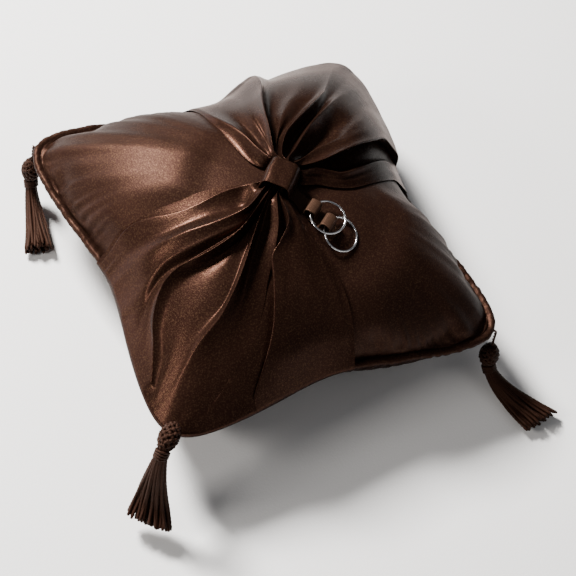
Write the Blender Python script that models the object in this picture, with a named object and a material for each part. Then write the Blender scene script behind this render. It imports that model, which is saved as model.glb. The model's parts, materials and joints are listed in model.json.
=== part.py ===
import math

import bpy
import numpy as np
from mathutils import Vector

# Ring bearer pillow. Metres, +Z up. The origin is the middle of the flat face it rests on.
# Sides run along X and Y; the sash runs along the diagonal from the (-X, -Y) corner to the (+X, +Y) corner.

# Driving dimensions: pillow
SIDE = 0.200                # seam to seam, measured across two corners' ends
SIDE_PULL = 0.0112          # how far the middle of a side is drawn in by the stuffing
CORNER_SHARPNESS = 12.7     # exponent of the rounded square, larger is sharper
CROWN = 0.050               # top of the dome above the seam
SEAM_HEIGHT = 0.043         # seam above the surface the pillow rests on
REST_SHARE = 0.50           # flat part of the underside, as a share of the radius
DOME_POWER = 2.2
SIDE_FULLNESS = 0.60        # how upright the dome stands at the middle of a side, lower is more upright
CORNER_FULLNESS = 0.92      # the same at a corner
COVER_THICKNESS = 0.0008
FIT_GAP = 0.0005            # between layers of cloth that are nested in each other
TOUCH_GAP = 0.0003          # between pieces that lie on each other

# Piping
PIPING_RADIUS = 0.0020
PIPING_CLOTH = 0.0004
PIPING_FLANGE = 0.0050
PIPING_SLIT = 0.0003

# Sash and knot
SASH_THICKNESS = 0.0010
SASH_LEFT_ANGLE = 98.0      # edges of the fan over the far corner, in degrees from +X
SASH_RIGHT_ANGLE = -7.0
SASH_UNDER_SHARE = 0.86     # how far under the pillow its ends reach, as a share of the radius
WAIST_WIDTH = 0.0165
WAIST_HEIGHT = 0.0110
BAND_LENGTH = 0.0180
BAND_THICKNESS = 0.0012
BAND_CORNER = 0.0040

# Ring ribbon: a strap under two raised loops
STRAP_WIDTH = 0.0100
STRAP_THICKNESS = 0.0007
STRAP_ANGLE = -66.0
STRAP_START = 0.0030        # from the knot's middle, under the band
STRAP_LENGTH = 0.0390
LOOP_ANGLE = -52.0
LOOP_WIDTH = 0.0092
LOOP_SPAN = 0.0056          # inside the arch, along the ribbon
LOOP_HEIGHT = 0.0049        # inside the arch
LOOP_FOOT = 0.0006
LOOP_THICKNESS = 0.0006
LOOP_PLACES = (0.0238, 0.0346)   # of each loop's middle from the knot's middle, along the strap

# Rings
RING_OUTER = 0.0205
RING_WIRE_WIDTH = 0.0011
RING_WIRE_HEIGHT = 0.0011
RING_REST_GAP = 0.0004      # under the lower ring's wire and between the two rings' wires
RING_ROLLS = (4.0, 4.0)     # degrees that a ring's far side stands higher than its near side
RING_HEIGHTS = (0.0031, 0.0018)  # of the wire in each arch, above the strap

# Tassels. Each has its corner, the way its skirt lies, its cord's length and how steeply it falls:
# pairs of distance from the cord's end and degrees below level.
TASSELS = {
    "left": {"corner": 135, "heading": -98, "cord": 0.0120, "falls": ((0, 86), (0.030, 84), (0.075, 70))},
    "front": {"corner": 225, "heading": -136.5, "cord": 0.0050,
              "falls": ((0, -48), (0.003, -40), (0.010, 8), (0.017, 26), (0.023, 60), (0.040, 70), (0.070, 66))},
    "right": {"corner": 315, "heading": -78, "cord": 0.0130, "falls": ((0, 84), (0.030, 82), (0.075, 70))},
    "back": {"corner": 45, "heading": 172, "cord": 0.0120, "falls": ((0, 86), (0.030, 84), (0.075, 70))},
}
FLOOR_BEND = 0.016          # height over which a tassel turns level as it comes to the floor
TASSEL_CORD_RADIUS = 0.0008
TASSEL_HEAD_RADIUS = 0.0056
TASSEL_HEAD_LENGTH = 0.0150
TASSEL_NECK_RADIUS = 0.0044
TASSEL_NECK_THICKNESS = 0.0011
SKIRT_TOP_RADIUS = 0.0028
SKIRT_WIDTH = 0.0120
SKIRT_DEPTH = 0.0046
SKIRT_LENGTH = 0.0460

# Fineness of the meshes
ANGLE_STEPS = 48
ANGLE_BIAS = 0.6            # closer steps at the corners
DOME_STEPS = 8

HALF = SIDE / 2
PIPING_OFFSET = PIPING_RADIUS + FIT_GAP
PIPING_HALF_FLANGE = PIPING_SLIT / 2 + PIPING_CLOTH
RIM = PIPING_HALF_FLANGE + TOUCH_GAP     # each cover's rim, above or below the seam's middle
FULL_TURN = 2 * math.pi
DIAGONAL = math.radians(45)
RING_MIDDLE = (RING_OUTER - RING_WIRE_WIDTH) / 2    # radius of the middle of a ring's wire


def material(name, colour, roughness, metallic=0.0):
    made = bpy.data.materials.new(name)
    made.use_nodes = True
    shader = made.node_tree.nodes["Principled BSDF"]
    shader.inputs["Base Color"].default_value = (*colour, 1)
    shader.inputs["Roughness"].default_value = roughness
    shader.inputs["Metallic"].default_value = metallic
    return made


def add_object(name, vertices, faces, finish, smooth_angle=40):
    mesh = bpy.data.meshes.new(name)
    mesh.from_pydata([tuple(v) for v in vertices], [], faces)
    mesh.materials.append(finish)
    mesh.shade_smooth()
    mesh.set_sharp_from_angle(angle=math.radians(smooth_angle))
    made = bpy.data.objects.new(name, mesh)
    bpy.context.scene.collection.objects.link(made)
    return made


# Plan outline: a rounded square whose sides are drawn in


def outline_radius(angle, shrink=0.0):
    c, s = abs(math.cos(angle)), abs(math.sin(angle))
    square = (c**CORNER_SHARPNESS + s**CORNER_SHARPNESS) ** (-1 / CORNER_SHARPNESS)
    return square * (HALF - SIDE_PULL * math.cos(2 * angle) ** 2) - shrink


def outline_point(angle):
    return Vector((math.cos(angle), math.sin(angle), 0)) * outline_radius(angle)


def outline_normal(angle):
    step = 0.004
    along = outline_point(angle + step) - outline_point(angle - step)
    return Vector((along.y, -along.x, 0)).normalized()


def profile(share, angle):
    """Height of the dome as a share of its crown, at a share of the way out."""
    corner = math.sin(2 * angle) ** 2
    fullness = SIDE_FULLNESS + (CORNER_FULLNESS - SIDE_FULLNESS) * corner**3
    return max(0.0, 1 - min(share, 1.0) ** DOME_POWER) ** fullness


def top_point(angle, share, lift=0.0):
    """A point on the top cover's outer surface, or lift outside it."""
    radius = share * outline_radius(angle, -lift)
    height = SEAM_HEIGHT + RIM + (CROWN - RIM + lift) * profile(share, angle)
    return Vector((radius * math.cos(angle), radius * math.sin(angle), height))


def bottom_point(angle, share, lift=0.0):
    """A point on the bottom cover's outer surface, or lift outside it."""
    radius = share * outline_radius(angle, -lift)
    beyond = max(0.0, (share - REST_SHARE) / (1 - REST_SHARE))
    depth = (SEAM_HEIGHT - RIM + lift) * profile(beyond, angle)
    return Vector((radius * math.cos(angle), radius * math.sin(angle), SEAM_HEIGHT - RIM - depth))


def top_height(x, y, lift=0.0):
    angle = math.atan2(y, x)
    return top_point(angle, math.hypot(x, y) / outline_radius(angle, -lift), lift).z


def angle_list():
    """Directions round the outline, closer together at the corners, with the sash's edges among them."""
    plain = [i * FULL_TURN / ANGLE_STEPS for i in range(ANGLE_STEPS)]
    angles = [a + ANGLE_BIAS / 4 * math.sin(4 * a) for a in plain]
    for edge in (SASH_LEFT_ANGLE, SASH_RIGHT_ANGLE):
        for mirrored in (edge, 270 - edge):
            wanted = math.radians(mirrored) % FULL_TURN
            nearest = min(range(len(angles)), key=lambda i: abs(angles[i] - wanted))
            angles[nearest] = wanted
    return sorted(a % FULL_TURN for a in angles)


ANGLES = angle_list()
# From the middle out, evenly spaced as seen from the dome's own centre
SHARES = [math.sin(math.pi / 2 * k / DOME_STEPS) for k in range(1, DOME_STEPS + 1)]


def ring_faces(start_a, start_b, count, flip=False):
    """Triangles between two closed rings of vertices, always split along the same diagonal."""
    faces = []
    for i in range(count):
        j = (i + 1) % count
        pair = [(start_a + i, start_b + i, start_b + j), (start_a + i, start_b + j, start_a + j)]
        faces += [tuple(reversed(f)) if flip else f for f in pair]
    return faces


def fan_faces(centre, start, count, flip=False):
    faces = [(centre, start + i, start + (i + 1) % count) for i in range(count)]
    return [tuple(reversed(f)) for f in faces] if flip else faces


def cover(name, point, finish, downward):
    """A thin domed shell: its outer surface, its inner surface and the rim between them."""
    count = len(ANGLES)
    vertices, faces = [], []
    for lift, inward in ((0.0, False), (-COVER_THICKNESS, True)):
        centre = len(vertices)
        vertices.append(point(0.0, 0.0, lift))
        for share in SHARES:
            vertices += [point(a, share, lift) for a in ANGLES]
        flip = inward != downward
        faces += fan_faces(centre, centre + 1, count, flip)
        for k in range(len(SHARES) - 1):
            first = centre + 1 + k * count
            faces += ring_faces(first, first + count, count, flip)
    outer_rim = 1 + (len(SHARES) - 1) * count
    inner_rim = outer_rim + 1 + len(SHARES) * count
    faces += ring_faces(outer_rim, inner_rim, count, downward)
    return add_object(name, vertices, faces, finish)


def filling(finish):
    """The stuffing: a closed body just inside both covers, narrower than the piping's flange at the seam."""
    count = len(ANGLES)
    inset = COVER_THICKNESS + FIT_GAP * 1.6
    vertices = [top_point(0.0, 0.0, -inset)]
    faces = fan_faces(0, 1, count)
    seam_inset = PIPING_FLANGE + 2 * FIT_GAP

    def seam_point(angle, _share, _lift):
        return outline_point(angle) - outline_normal(angle) * seam_inset + Vector((0, 0, SEAM_HEIGHT))

    rows = [(top_point, s) for s in SHARES[:-1]] + [(seam_point, 1.0)]
    rows += [(bottom_point, s) for s in SHARES[-2::-1]]
    for point, share in rows:
        vertices += [point(a, share, -inset) for a in ANGLES]
    for k in range(len(rows) - 1):
        faces += ring_faces(1 + k * count, 1 + (k + 1) * count, count)
    vertices.append(bottom_point(0.0, 0.0, -inset))
    faces += fan_faces(len(vertices) - 1, 1 + (len(rows) - 1) * count, count, True)
    return add_object("filling", vertices, faces, finish)


def arc(radius, start, end, count):
    """Points of an arc in the (outward, up) plane, angles in degrees."""
    turns = [math.radians(start + (end - start) * i / (count - 1)) for i in range(count)]
    return [(radius * math.cos(t), radius * math.sin(t)) for t in turns]


def along_seam(name, section, finish):
    """Sweeps a closed (outward, up) section round the seam, square to the outline."""
    count = len(section)
    vertices, faces = [], []
    for a in ANGLES:
        base, normal = outline_point(a), outline_normal(a)
        for out, up in section:
            vertices.append(base + normal * (PIPING_OFFSET + out) + Vector((0, 0, SEAM_HEIGHT + up)))
    total = len(ANGLES)
    for k in range(total):
        faces += ring_faces(k * count, (k + 1) % total * count, count, True)
    return add_object(name, vertices, faces, finish)


def piping(cloth, cord):
    """A bias strip folded round a cord: two layers of flange with the slit between them."""
    inner = PIPING_RADIUS - PIPING_CLOTH
    outer_turn = 180 - math.degrees(math.asin(PIPING_HALF_FLANGE / PIPING_RADIUS))
    inner_turn = 180 - math.degrees(math.asin(PIPING_SLIT / 2 / inner))
    edge = -PIPING_FLANGE - PIPING_OFFSET
    section = [(edge, PIPING_HALF_FLANGE)] + arc(PIPING_RADIUS, outer_turn, -outer_turn, 9)
    section += [(edge, -PIPING_HALF_FLANGE), (edge, -PIPING_SLIT / 2)]
    section += arc(inner, -inner_turn, inner_turn, 7) + [(edge, PIPING_SLIT / 2)]
    along_seam("piping_cover", section, cloth)
    along_seam("piping_cord", arc(inner - TOUCH_GAP, 180, -120, 6), cord)


# Sash: one band from under the near corner, over the top and through the knot, to under the far corner

CROWN_HEIGHT = SEAM_HEIGHT + CROWN
BAND_BOTTOM = CROWN_HEIGHT + TOUCH_GAP + STRAP_THICKNESS + TOUCH_GAP
WAIST_BOTTOM = BAND_BOTTOM + BAND_THICKNESS + TOUCH_GAP
ALONG = Vector((math.cos(DIAGONAL), math.sin(DIAGONAL), 0))
ACROSS = Vector((-math.sin(DIAGONAL), math.cos(DIAGONAL), 0))
WAIST_REACH = BAND_LENGTH / 2 + 0.001     # the sash is straight this far from the knot's middle
FAN_START = 0.34                          # share of the radius where the sash lies flat on the cover


def smooth(x):
    x = min(max(x, 0.0), 1.0)
    return x * x * (3 - 2 * x)


def sash_columns():
    low = math.radians(SASH_RIGHT_ANGLE)
    high = math.radians(SASH_LEFT_ANGLE)
    signed = [a if a < math.pi else a - FULL_TURN for a in ANGLES]
    return sorted(a for a in signed if low - 1e-6 <= a <= high + 1e-6)


def sash_rows(angle, width_share, side):
    """Inner and outer points of one pleat line from the knot outward; side is 1 for the far fan, -1 for the near."""
    turned = angle if side > 0 else FULL_TURN * 0.75 - angle
    gap, cloth = FIT_GAP, SASH_THICKNESS
    across = ACROSS * (WAIST_WIDTH / 2 - TOUCH_GAP) * width_share
    pairs = []
    for reach in (0.0, WAIST_REACH):
        base = ALONG * side * reach + across
        pairs.append((base + Vector((0, 0, WAIST_BOTTOM)), base + Vector((0, 0, WAIST_BOTTOM + WAIST_HEIGHT))))
    for share in (0.20, 0.27):
        spread = smooth((share - 0.07) / (FAN_START - 0.07))
        straight = ALONG * side * share * HALF + across
        plan = straight.lerp(top_point(turned, share), spread)
        low = top_height(plan.x, plan.y, gap) + gap * 2
        bulk = cloth + (WAIST_HEIGHT - cloth) * (1 - smooth((share - 0.05) / (FAN_START - 0.05)))
        pairs.append((Vector((plan.x, plan.y, low)), Vector((plan.x, plan.y, low + bulk))))
    for share in SHARES[1:-1]:
        pairs.append((top_point(turned, share, gap), top_point(turned, share, gap + cloth)))
    base, normal = outline_point(turned), outline_normal(turned)
    for turn in (90, 45, 0, -45, -90):
        out, up = math.cos(math.radians(turn)), math.sin(math.radians(turn))
        inner, outer = PIPING_RADIUS + gap, PIPING_RADIUS + gap + cloth
        centre = base + normal * PIPING_OFFSET + Vector((0, 0, SEAM_HEIGHT))
        pairs.append((centre + normal * out * inner + Vector((0, 0, up * inner)),
                      centre + normal * out * outer + Vector((0, 0, up * outer))))
    for share in (SHARES[-2], (SHARES[-2] + SASH_UNDER_SHARE) / 2, SASH_UNDER_SHARE):
        pairs.append((bottom_point(turned, share, gap), bottom_point(turned, share, gap + cloth)))
    return pairs


def sash(finish):
    columns = sash_columns()
    low, high = columns[0], columns[-1]
    grid = []
    for angle in columns:
        width_share = 2 * (angle - low) / (high - low) - 1
        near = sash_rows(angle, width_share, -1)
        far = sash_rows(angle, width_share, 1)
        grid.append(near[:0:-1] + far)
    rows, count = len(grid[0]), len(grid)
    vertices = [pair[0] for line in grid for pair in line] + [pair[1] for line in grid for pair in line]
    top = rows * count
    faces = []
    for i in range(count - 1):
        for j in range(rows - 1):
            a, b = i * rows + j, (i + 1) * rows + j
            lower = [(a, b + 1, a + 1), (a, b, b + 1)]
            faces += [tuple(reversed([v + top for v in f])) for f in lower] + lower
    border = [i * rows for i in range(count)]
    border += [(count - 1) * rows + j for j in range(1, rows)]
    border += [i * rows + rows - 1 for i in range(count - 2, -1, -1)]
    border += list(range(rows - 2, 0, -1))
    for k, a in enumerate(border):
        b = border[(k + 1) % len(border)]
        faces += [(a, b + top, b), (a, a + top, b + top)]
    return add_object("sash", vertices, faces, finish)


def rounded_rectangle(width, height, corner, steps=4):
    """Corner arcs of an upright rectangle that stands on zero, as (across, up) points."""
    points = []
    for sx, sz, start in ((1, 1, 0), (-1, 1, 90), (-1, 0, 180), (1, 0, 270)):
        centre_x = sx * (width / 2 - corner)
        centre_z = height - corner if sz else corner
        for k in range(steps):
            turn = math.radians(start + 90 * k / (steps - 1))
            points.append((centre_x + corner * math.cos(turn), centre_z + corner * math.sin(turn)))
    return points


def knot_band(finish):
    """A loop of cloth round the waist of the sash."""
    inner_width, inner_height = WAIST_WIDTH + TOUCH_GAP, WAIST_HEIGHT + 2 * TOUCH_GAP
    inner = rounded_rectangle(inner_width, inner_height, TOUCH_GAP)
    outer = rounded_rectangle(inner_width + 2 * BAND_THICKNESS, inner_height + 2 * BAND_THICKNESS, BAND_CORNER)
    inner = [(x, z + BAND_THICKNESS) for x, z in inner]
    count = len(outer)
    vertices = []
    for end in (-1, 1):
        for x, z in outer + inner:
            vertices.append(ALONG * end * BAND_LENGTH / 2 + ACROSS * x + Vector((0, 0, BAND_BOTTOM + z)))
    near_outer, near_inner, far_outer, far_inner = (count * k for k in range(4))
    faces = ring_faces(near_outer, far_outer, count, True) + ring_faces(near_inner, far_inner, count)
    faces += ring_faces(near_outer, near_inner, count) + ring_faces(far_outer, far_inner, count, True)
    return add_object("knot_band", vertices, faces, finish)


# Ring ribbon


def direction(degrees):
    return Vector((math.cos(math.radians(degrees)), math.sin(math.radians(degrees)), 0))


def ribbon_strap(finish):
    """A flat ribbon that follows the dome from under the knot band."""
    run, side = direction(STRAP_ANGLE), direction(STRAP_ANGLE + 90)
    steps, across_steps = 12, 2
    vertices, faces = [], []
    for k in range(steps + 1):
        for lift in (TOUCH_GAP, TOUCH_GAP + STRAP_THICKNESS):
            for i in range(across_steps + 1):
                place = run * (STRAP_START + STRAP_LENGTH * k / steps)
                place += side * STRAP_WIDTH * (i / across_steps - 0.5)
                vertices.append((place.x, place.y, top_height(place.x, place.y) + lift))
    row = across_steps + 1
    ring = list(range(row)) + list(range(2 * row - 1, row - 1, -1))
    for k in range(steps):
        here, there = k * 2 * row, (k + 1) * 2 * row
        for i in range(len(ring)):
            a, b = ring[i], ring[(i + 1) % len(ring)]
            faces += [(here + a, there + b, there + a), (here + a, here + b, there + b)]
    for start, flip in ((0, True), (steps * 2 * row, False)):
        for i in range(across_steps):
            quad = [start + i, start + i + 1, start + row + i + 1, start + row + i]
            halves = [(quad[0], quad[1], quad[2]), (quad[0], quad[2], quad[3])]
            faces += [tuple(reversed(f)) if flip else f for f in halves]
    return add_object("ring_ribbon_strap", vertices, faces, finish)


def loop_frame(index):
    """Where a loop stands on the strap: its base, the ribbon's direction there, the arch's axis and its up."""
    base = direction(STRAP_ANGLE) * LOOP_PLACES[index]
    lift = 3 * TOUCH_GAP + STRAP_THICKNESS
    base.z = top_height(base.x, base.y) + lift
    axis = direction(LOOP_ANGLE + 90)
    flat = direction(LOOP_ANGLE)
    step = LOOP_SPAN / 2
    ahead, behind = base + flat * step, base - flat * step
    fall = top_height(ahead.x, ahead.y) - top_height(behind.x, behind.y)
    run = Vector((flat.x, flat.y, fall / LOOP_SPAN)).normalized()
    return base, run, axis, run.cross(axis)


def ribbon_loop(name, index, finish):
    """An arch of ribbon with a foot at each end, sewn to the strap."""
    base, run, axis, up = loop_frame(index)
    half, top, cloth = LOOP_SPAN / 2, LOOP_HEIGHT, LOOP_THICKNESS
    bend = min(half, top) * 0.75
    inner = [(half, 0)] + [(half - bend + x, top - bend + z) for x, z in arc(bend, 0, 90, 4)]
    inner = inner + [(-x, z) for x, z in reversed(inner)]
    outer = [(half + cloth, cloth)]
    outer += [(half - bend + x, top - bend + z) for x, z in arc(bend + cloth, 0, 90, 4)]
    outer = [(half + cloth + LOOP_FOOT, 0), (half + cloth + LOOP_FOOT, cloth)] + outer
    outer = outer + [(-x, z) for x, z in reversed(outer)]
    section = outer + list(reversed(inner))
    count = len(section)
    vertices = []
    for side in (-0.5, 0.5):
        vertices += [base + axis * side * LOOP_WIDTH + run * x + up * z for x, z in section]
    faces = ring_faces(0, count, count)
    faces += [tuple(range(count)), tuple(range(2 * count - 1, count - 1, -1))]
    return add_object(name, vertices, faces, finish)


def ring_frame(index, tilt):
    """A ring at a slope in radians: its pivot in the loop, its centre, and its outward, sideways and normal."""
    base, run, axis, up = loop_frame(index)
    pivot = base + up * RING_HEIGHTS[index]
    roll = math.radians(RING_ROLLS[index])
    outward = direction(LOOP_ANGLE) * math.cos(tilt) - Vector((0, 0, math.sin(tilt)))
    sideways = axis * math.cos(roll) + Vector((0, 0, math.sin(roll)))
    normal = outward.cross(sideways).normalized()
    sideways = normal.cross(outward)
    sag = LOOP_WIDTH**2 / 8 / RING_MIDDLE / 2
    return pivot, pivot + outward * (RING_MIDDLE - sag), outward, sideways, normal


def wire_line(index, tilt, steps=96):
    """Points along the middle of a ring's wire, from its far end round."""
    pivot, centre, outward, sideways, normal = ring_frame(index, tilt)
    turns = [FULL_TURN * k / steps for k in range(steps)]
    return [centre + (outward * math.cos(t) + sideways * math.sin(t)) * RING_MIDDLE for t in turns]


def steepest(clearance):
    """The first slope, in radians, at which a ring that is let down comes to the rest gap."""
    low, step = math.radians(-20), math.radians(0.5)
    while clearance(low + step) > RING_REST_GAP:
        low += step
    for _ in range(20):
        step /= 2
        if clearance(low + step) > RING_REST_GAP:
            low += step
    return low


def ring_tilts():
    """The lower ring lies on the cover at its far end; the upper one lies on the lower one's wire."""
    def over_cover(tilt):
        line = wire_line(1, tilt)
        far = line[:len(line) // 4] + line[-len(line) // 4:]
        return min(p.z - top_height(p.x, p.y) for p in far) - RING_WIRE_HEIGHT / 2

    lower = steepest(over_cover)
    under = np.array(wire_line(1, lower))

    def over_ring(tilt):
        upper = np.array(wire_line(0, tilt))
        gaps = np.linalg.norm(upper[:, None] - under[None], axis=2)
        return gaps.min() - RING_WIRE_WIDTH

    return steepest(over_ring), lower


def ring(name, index, tilt, finish):
    """A plain band ring whose wire passes through its loop. Its origin is on the loop's axis, where it turns."""
    pivot, centre, outward, sideways, normal = ring_frame(index, tilt)
    steps, sides = 40, 8
    vertices, faces = [], []
    for k in range(steps):
        turn = FULL_TURN * k / steps
        spoke = outward * math.cos(turn) + sideways * math.sin(turn)
        for out, high in arc(0.5, 0, 360 - 360 / sides, sides):
            wire = spoke * (RING_MIDDLE + out * RING_WIRE_WIDTH) + normal * high * RING_WIRE_HEIGHT
            vertices.append(centre - pivot + wire)
    for k in range(steps):
        faces += ring_faces(k * sides, (k + 1) % steps * sides, sides)
    made = add_object(name, vertices, faces, finish, 60)
    made.location = pivot
    return made


# Tassels: each hangs from a corner of the seam and swings about its cord's end


def corner_hold(label):
    """Where a tassel's cord starts: outside the piping, outside the sash, or for the near corner on the sash."""
    corner = math.radians(TASSELS[label]["corner"])
    if label == "front":
        rows = sash_rows(DIAGONAL, 0.0, -1)
        last = 3 + len(SHARES[1:-1])
        place = rows[last][1].lerp(rows[last + 1][1], 0.5)
        return place + Vector((0, 0, TOUCH_GAP * 2 + TASSEL_CORD_RADIUS / 3))
    reach = PIPING_OFFSET + PIPING_RADIUS + TOUCH_GAP + TASSEL_CORD_RADIUS
    if label == "back":
        reach += FIT_GAP + SASH_THICKNESS
    place = outline_point(corner) + outline_normal(corner) * reach
    place.z = SEAM_HEIGHT
    return place


def fall_at(falls, distance):
    for (start, before), (end, after) in zip(falls, falls[1:]):
        if distance <= end:
            return before + (after - before) * (distance - start) / (end - start)
    return falls[-1][1]


def hanging_curve(label, height):
    """Points of a tassel's middle line as (outward, down) from its cord's end; it turns level at the floor."""
    falls, cord_length = TASSELS[label]["falls"], TASSELS[label]["cord"]
    length = cord_length + TASSEL_HEAD_LENGTH + SKIRT_LENGTH + 3 * TOUCH_GAP
    steps = 80
    floor = height - SKIRT_DEPTH - TOUCH_GAP
    points, place = [(0.0, 0.0)], [0.0, 0.0]
    for k in range(steps):
        steep = math.radians(fall_at(falls, length * (k + 0.5) / steps))
        if steep > 0:
            steep *= min(1.0, max(0.0, floor - place[1]) / FLOOR_BEND) ** 0.8
        place[0] += length / steps * math.cos(steep)
        place[1] += length / steps * math.sin(steep)
        points.append(tuple(place))
    return points, length


def curve_frame(points, length, distance):
    """Place and direction at a distance along a list of evenly spaced (outward, down) points."""
    position = min(max(distance / length, 0.0), 1.0) * (len(points) - 1)
    k = min(int(position), len(points) - 2)
    part = position - k
    a, b = points[k], points[k + 1]
    ahead = points[min(k + 2, len(points) - 1)]
    before = points[max(k - 1, 0)]
    out, down = ahead[0] - before[0], ahead[1] - before[1]
    size = math.hypot(out, down)
    place = (a[0] + (b[0] - a[0]) * part, a[1] + (b[1] - a[1]) * part)
    return place, (out / size, down / size)


def swept(name, hold, heading, rows, sides, finish):
    """A closed body along rows of (place, direction, width, depth) in the vertical plane through heading."""
    side = Vector((-heading.y, heading.x, 0))
    vertices, faces = [], []
    for (out, down), (go_out, go_down), width, depth in rows:
        centre = heading * out - Vector((0, 0, down))
        thick = heading * go_down + Vector((0, 0, go_out))
        for c, s in arc(1.0, 0, 360 - 360 / sides, sides):
            vertices.append(centre + side * width * c + thick * depth * s)
    for k in range(len(rows) - 1):
        faces += ring_faces(k * sides, (k + 1) * sides, sides, True)
    last = (len(rows) - 1) * sides
    faces += [tuple(range(sides - 1, -1, -1)), tuple(range(last, last + sides))]
    made = add_object(name, vertices, faces, finish, 60)
    made.location = hold
    return made


def neck_ring(name, hold, heading, spot, finish):
    """The binding wound round the top of the skirt: a ring with an open middle."""
    (out, down), (go_out, go_down) = spot
    side = Vector((-heading.y, heading.x, 0))
    thick = heading * go_down + Vector((0, 0, go_out))
    run = heading * go_out - Vector((0, 0, go_down))
    centre = heading * out - Vector((0, 0, down))
    steps, sides = 14, 6
    vertices, faces = [], []
    middle = TASSEL_NECK_RADIUS - TASSEL_NECK_THICKNESS / 2
    for k in range(steps):
        turn = FULL_TURN * k / steps
        spoke = side * math.cos(turn) + thick * math.sin(turn)
        for c, s in arc(TASSEL_NECK_THICKNESS / 2, 0, 360 - 360 / sides, sides):
            vertices.append(centre + spoke * (middle + c) + run * s * 2)
    for k in range(steps):
        faces += ring_faces(k * sides, (k + 1) % steps * sides, sides)
    made = add_object(name, vertices, faces, finish, 60)
    made.location = hold
    return made


def tassel(label, thread):
    """A short cord, a round head, the binding under it and a skirt of threads."""
    hold, heading = corner_hold(label), direction(TASSELS[label]["heading"])
    points, length = hanging_curve(label, hold.z)

    def spot(distance):
        return curve_frame(points, length, distance)

    cord_length = TASSELS[label]["cord"]
    rows = [(*spot(cord_length * k / 5), TASSEL_CORD_RADIUS, TASSEL_CORD_RADIUS) for k in range(6)]
    swept(f"tassel_{label}_cord", hold, heading, rows, 8, thread)

    head_start = cord_length + TOUCH_GAP
    rows = []
    for k in range(9):
        bulge = math.sin(math.radians(14 + 148 * k / 8)) ** 0.7
        radius = TASSEL_HEAD_RADIUS * bulge
        rows.append((*spot(head_start + TASSEL_HEAD_LENGTH * k / 8), radius, radius))
    swept(f"tassel_{label}_head", hold, heading, rows, 12, thread)

    skirt_start = head_start + TASSEL_HEAD_LENGTH + TOUCH_GAP
    neck_half = TASSEL_NECK_THICKNESS
    neck_place = skirt_start + neck_half + TOUCH_GAP
    neck_ring(f"tassel_{label}_neck", hold, heading, spot(neck_place), thread)

    rows = []
    flare_from = neck_place + neck_half
    for distance in (skirt_start, flare_from):
        rows.append((*spot(distance), SKIRT_TOP_RADIUS, SKIRT_TOP_RADIUS))
    for k in range(1, 8):
        part = k / 7
        width = SKIRT_TOP_RADIUS + (SKIRT_WIDTH - SKIRT_TOP_RADIUS) * part**0.7
        depth = SKIRT_TOP_RADIUS + (SKIRT_DEPTH - SKIRT_TOP_RADIUS) * part**0.5
        rows.append((*spot(flare_from + (SKIRT_LENGTH - neck_half * 2) * part), width, depth))
    swept(f"tassel_{label}_skirt", hold, heading, rows, 12, thread)


def build():
    for old in list(bpy.data.objects):
        bpy.data.objects.remove(old, do_unlink=True)
    satin = material("brown_satin", (0.075, 0.032, 0.020), 0.38)
    ribbon = material("brown_ribbon", (0.11, 0.055, 0.035), 0.40)
    stuffing = material("polyester_stuffing", (0.85, 0.85, 0.83), 0.95)
    cotton = material("cotton_cord", (0.75, 0.70, 0.62), 0.90)
    thread = material("brown_thread", (0.060, 0.028, 0.018), 0.70)
    silver = material("polished_silver", (0.80, 0.80, 0.82), 0.12, 1.0)

    filling(stuffing)
    cover("top_cover", top_point, satin, False)
    cover("bottom_cover", bottom_point, satin, True)
    piping(satin, cotton)
    sash(satin)
    knot_band(satin)
    ribbon_strap(ribbon)
    ribbon_loop("ribbon_loop_upper", 0, ribbon)
    ribbon_loop("ribbon_loop_lower", 1, ribbon)
    upper_tilt, lower_tilt = ring_tilts()
    ring("ring_upper", 0, upper_tilt, silver)
    ring("ring_lower", 1, lower_tilt, silver)
    for label in TASSELS:
        tassel(label, thread)


build()
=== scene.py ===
import json
import math
import random
import bpy
import numpy as np
from mathutils import Matrix, Vector


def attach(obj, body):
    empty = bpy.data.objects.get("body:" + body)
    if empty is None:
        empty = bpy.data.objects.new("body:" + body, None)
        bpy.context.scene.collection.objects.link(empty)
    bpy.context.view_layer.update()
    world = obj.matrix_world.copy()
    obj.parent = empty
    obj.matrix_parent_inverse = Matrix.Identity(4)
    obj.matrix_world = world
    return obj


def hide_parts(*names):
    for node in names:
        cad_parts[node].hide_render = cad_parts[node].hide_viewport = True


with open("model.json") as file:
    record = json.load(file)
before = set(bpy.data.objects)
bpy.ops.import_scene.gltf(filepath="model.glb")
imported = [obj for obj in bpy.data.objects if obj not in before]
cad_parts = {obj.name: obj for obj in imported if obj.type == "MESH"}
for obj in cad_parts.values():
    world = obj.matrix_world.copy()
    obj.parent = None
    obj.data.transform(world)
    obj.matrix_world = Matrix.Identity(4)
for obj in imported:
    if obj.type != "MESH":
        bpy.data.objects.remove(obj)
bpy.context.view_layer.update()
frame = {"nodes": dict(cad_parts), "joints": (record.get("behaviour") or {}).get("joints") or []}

# Lengths in metres. The pillow's sides run along X and Y; the sash runs along the diagonal.
pillow = {"half": 0.100, "sidePull": 0.0112, "sharpness": 12.7, "crown": 0.050, "seam": 0.043,
          "restShare": 0.50, "domePower": 2.2, "sideFullness": 0.60, "cornerFullness": 0.92, "rim": 0.00085,
          "seamLength": 0.76}
fullTurn = 2 * math.pi
along = Vector((1, 1, 0)).normalized()
across = Vector((-1, 1, 0)).normalized()


# Camera, lights and floor

cameraSpec = {"azimuth": -38.39, "elevation": 53.28, "roll": 16.52, "distance": 1.1446,
              "viewAngle": 16.0, "shift": (0.0438, -0.0866), "clip": (0.05, 20)}


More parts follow.
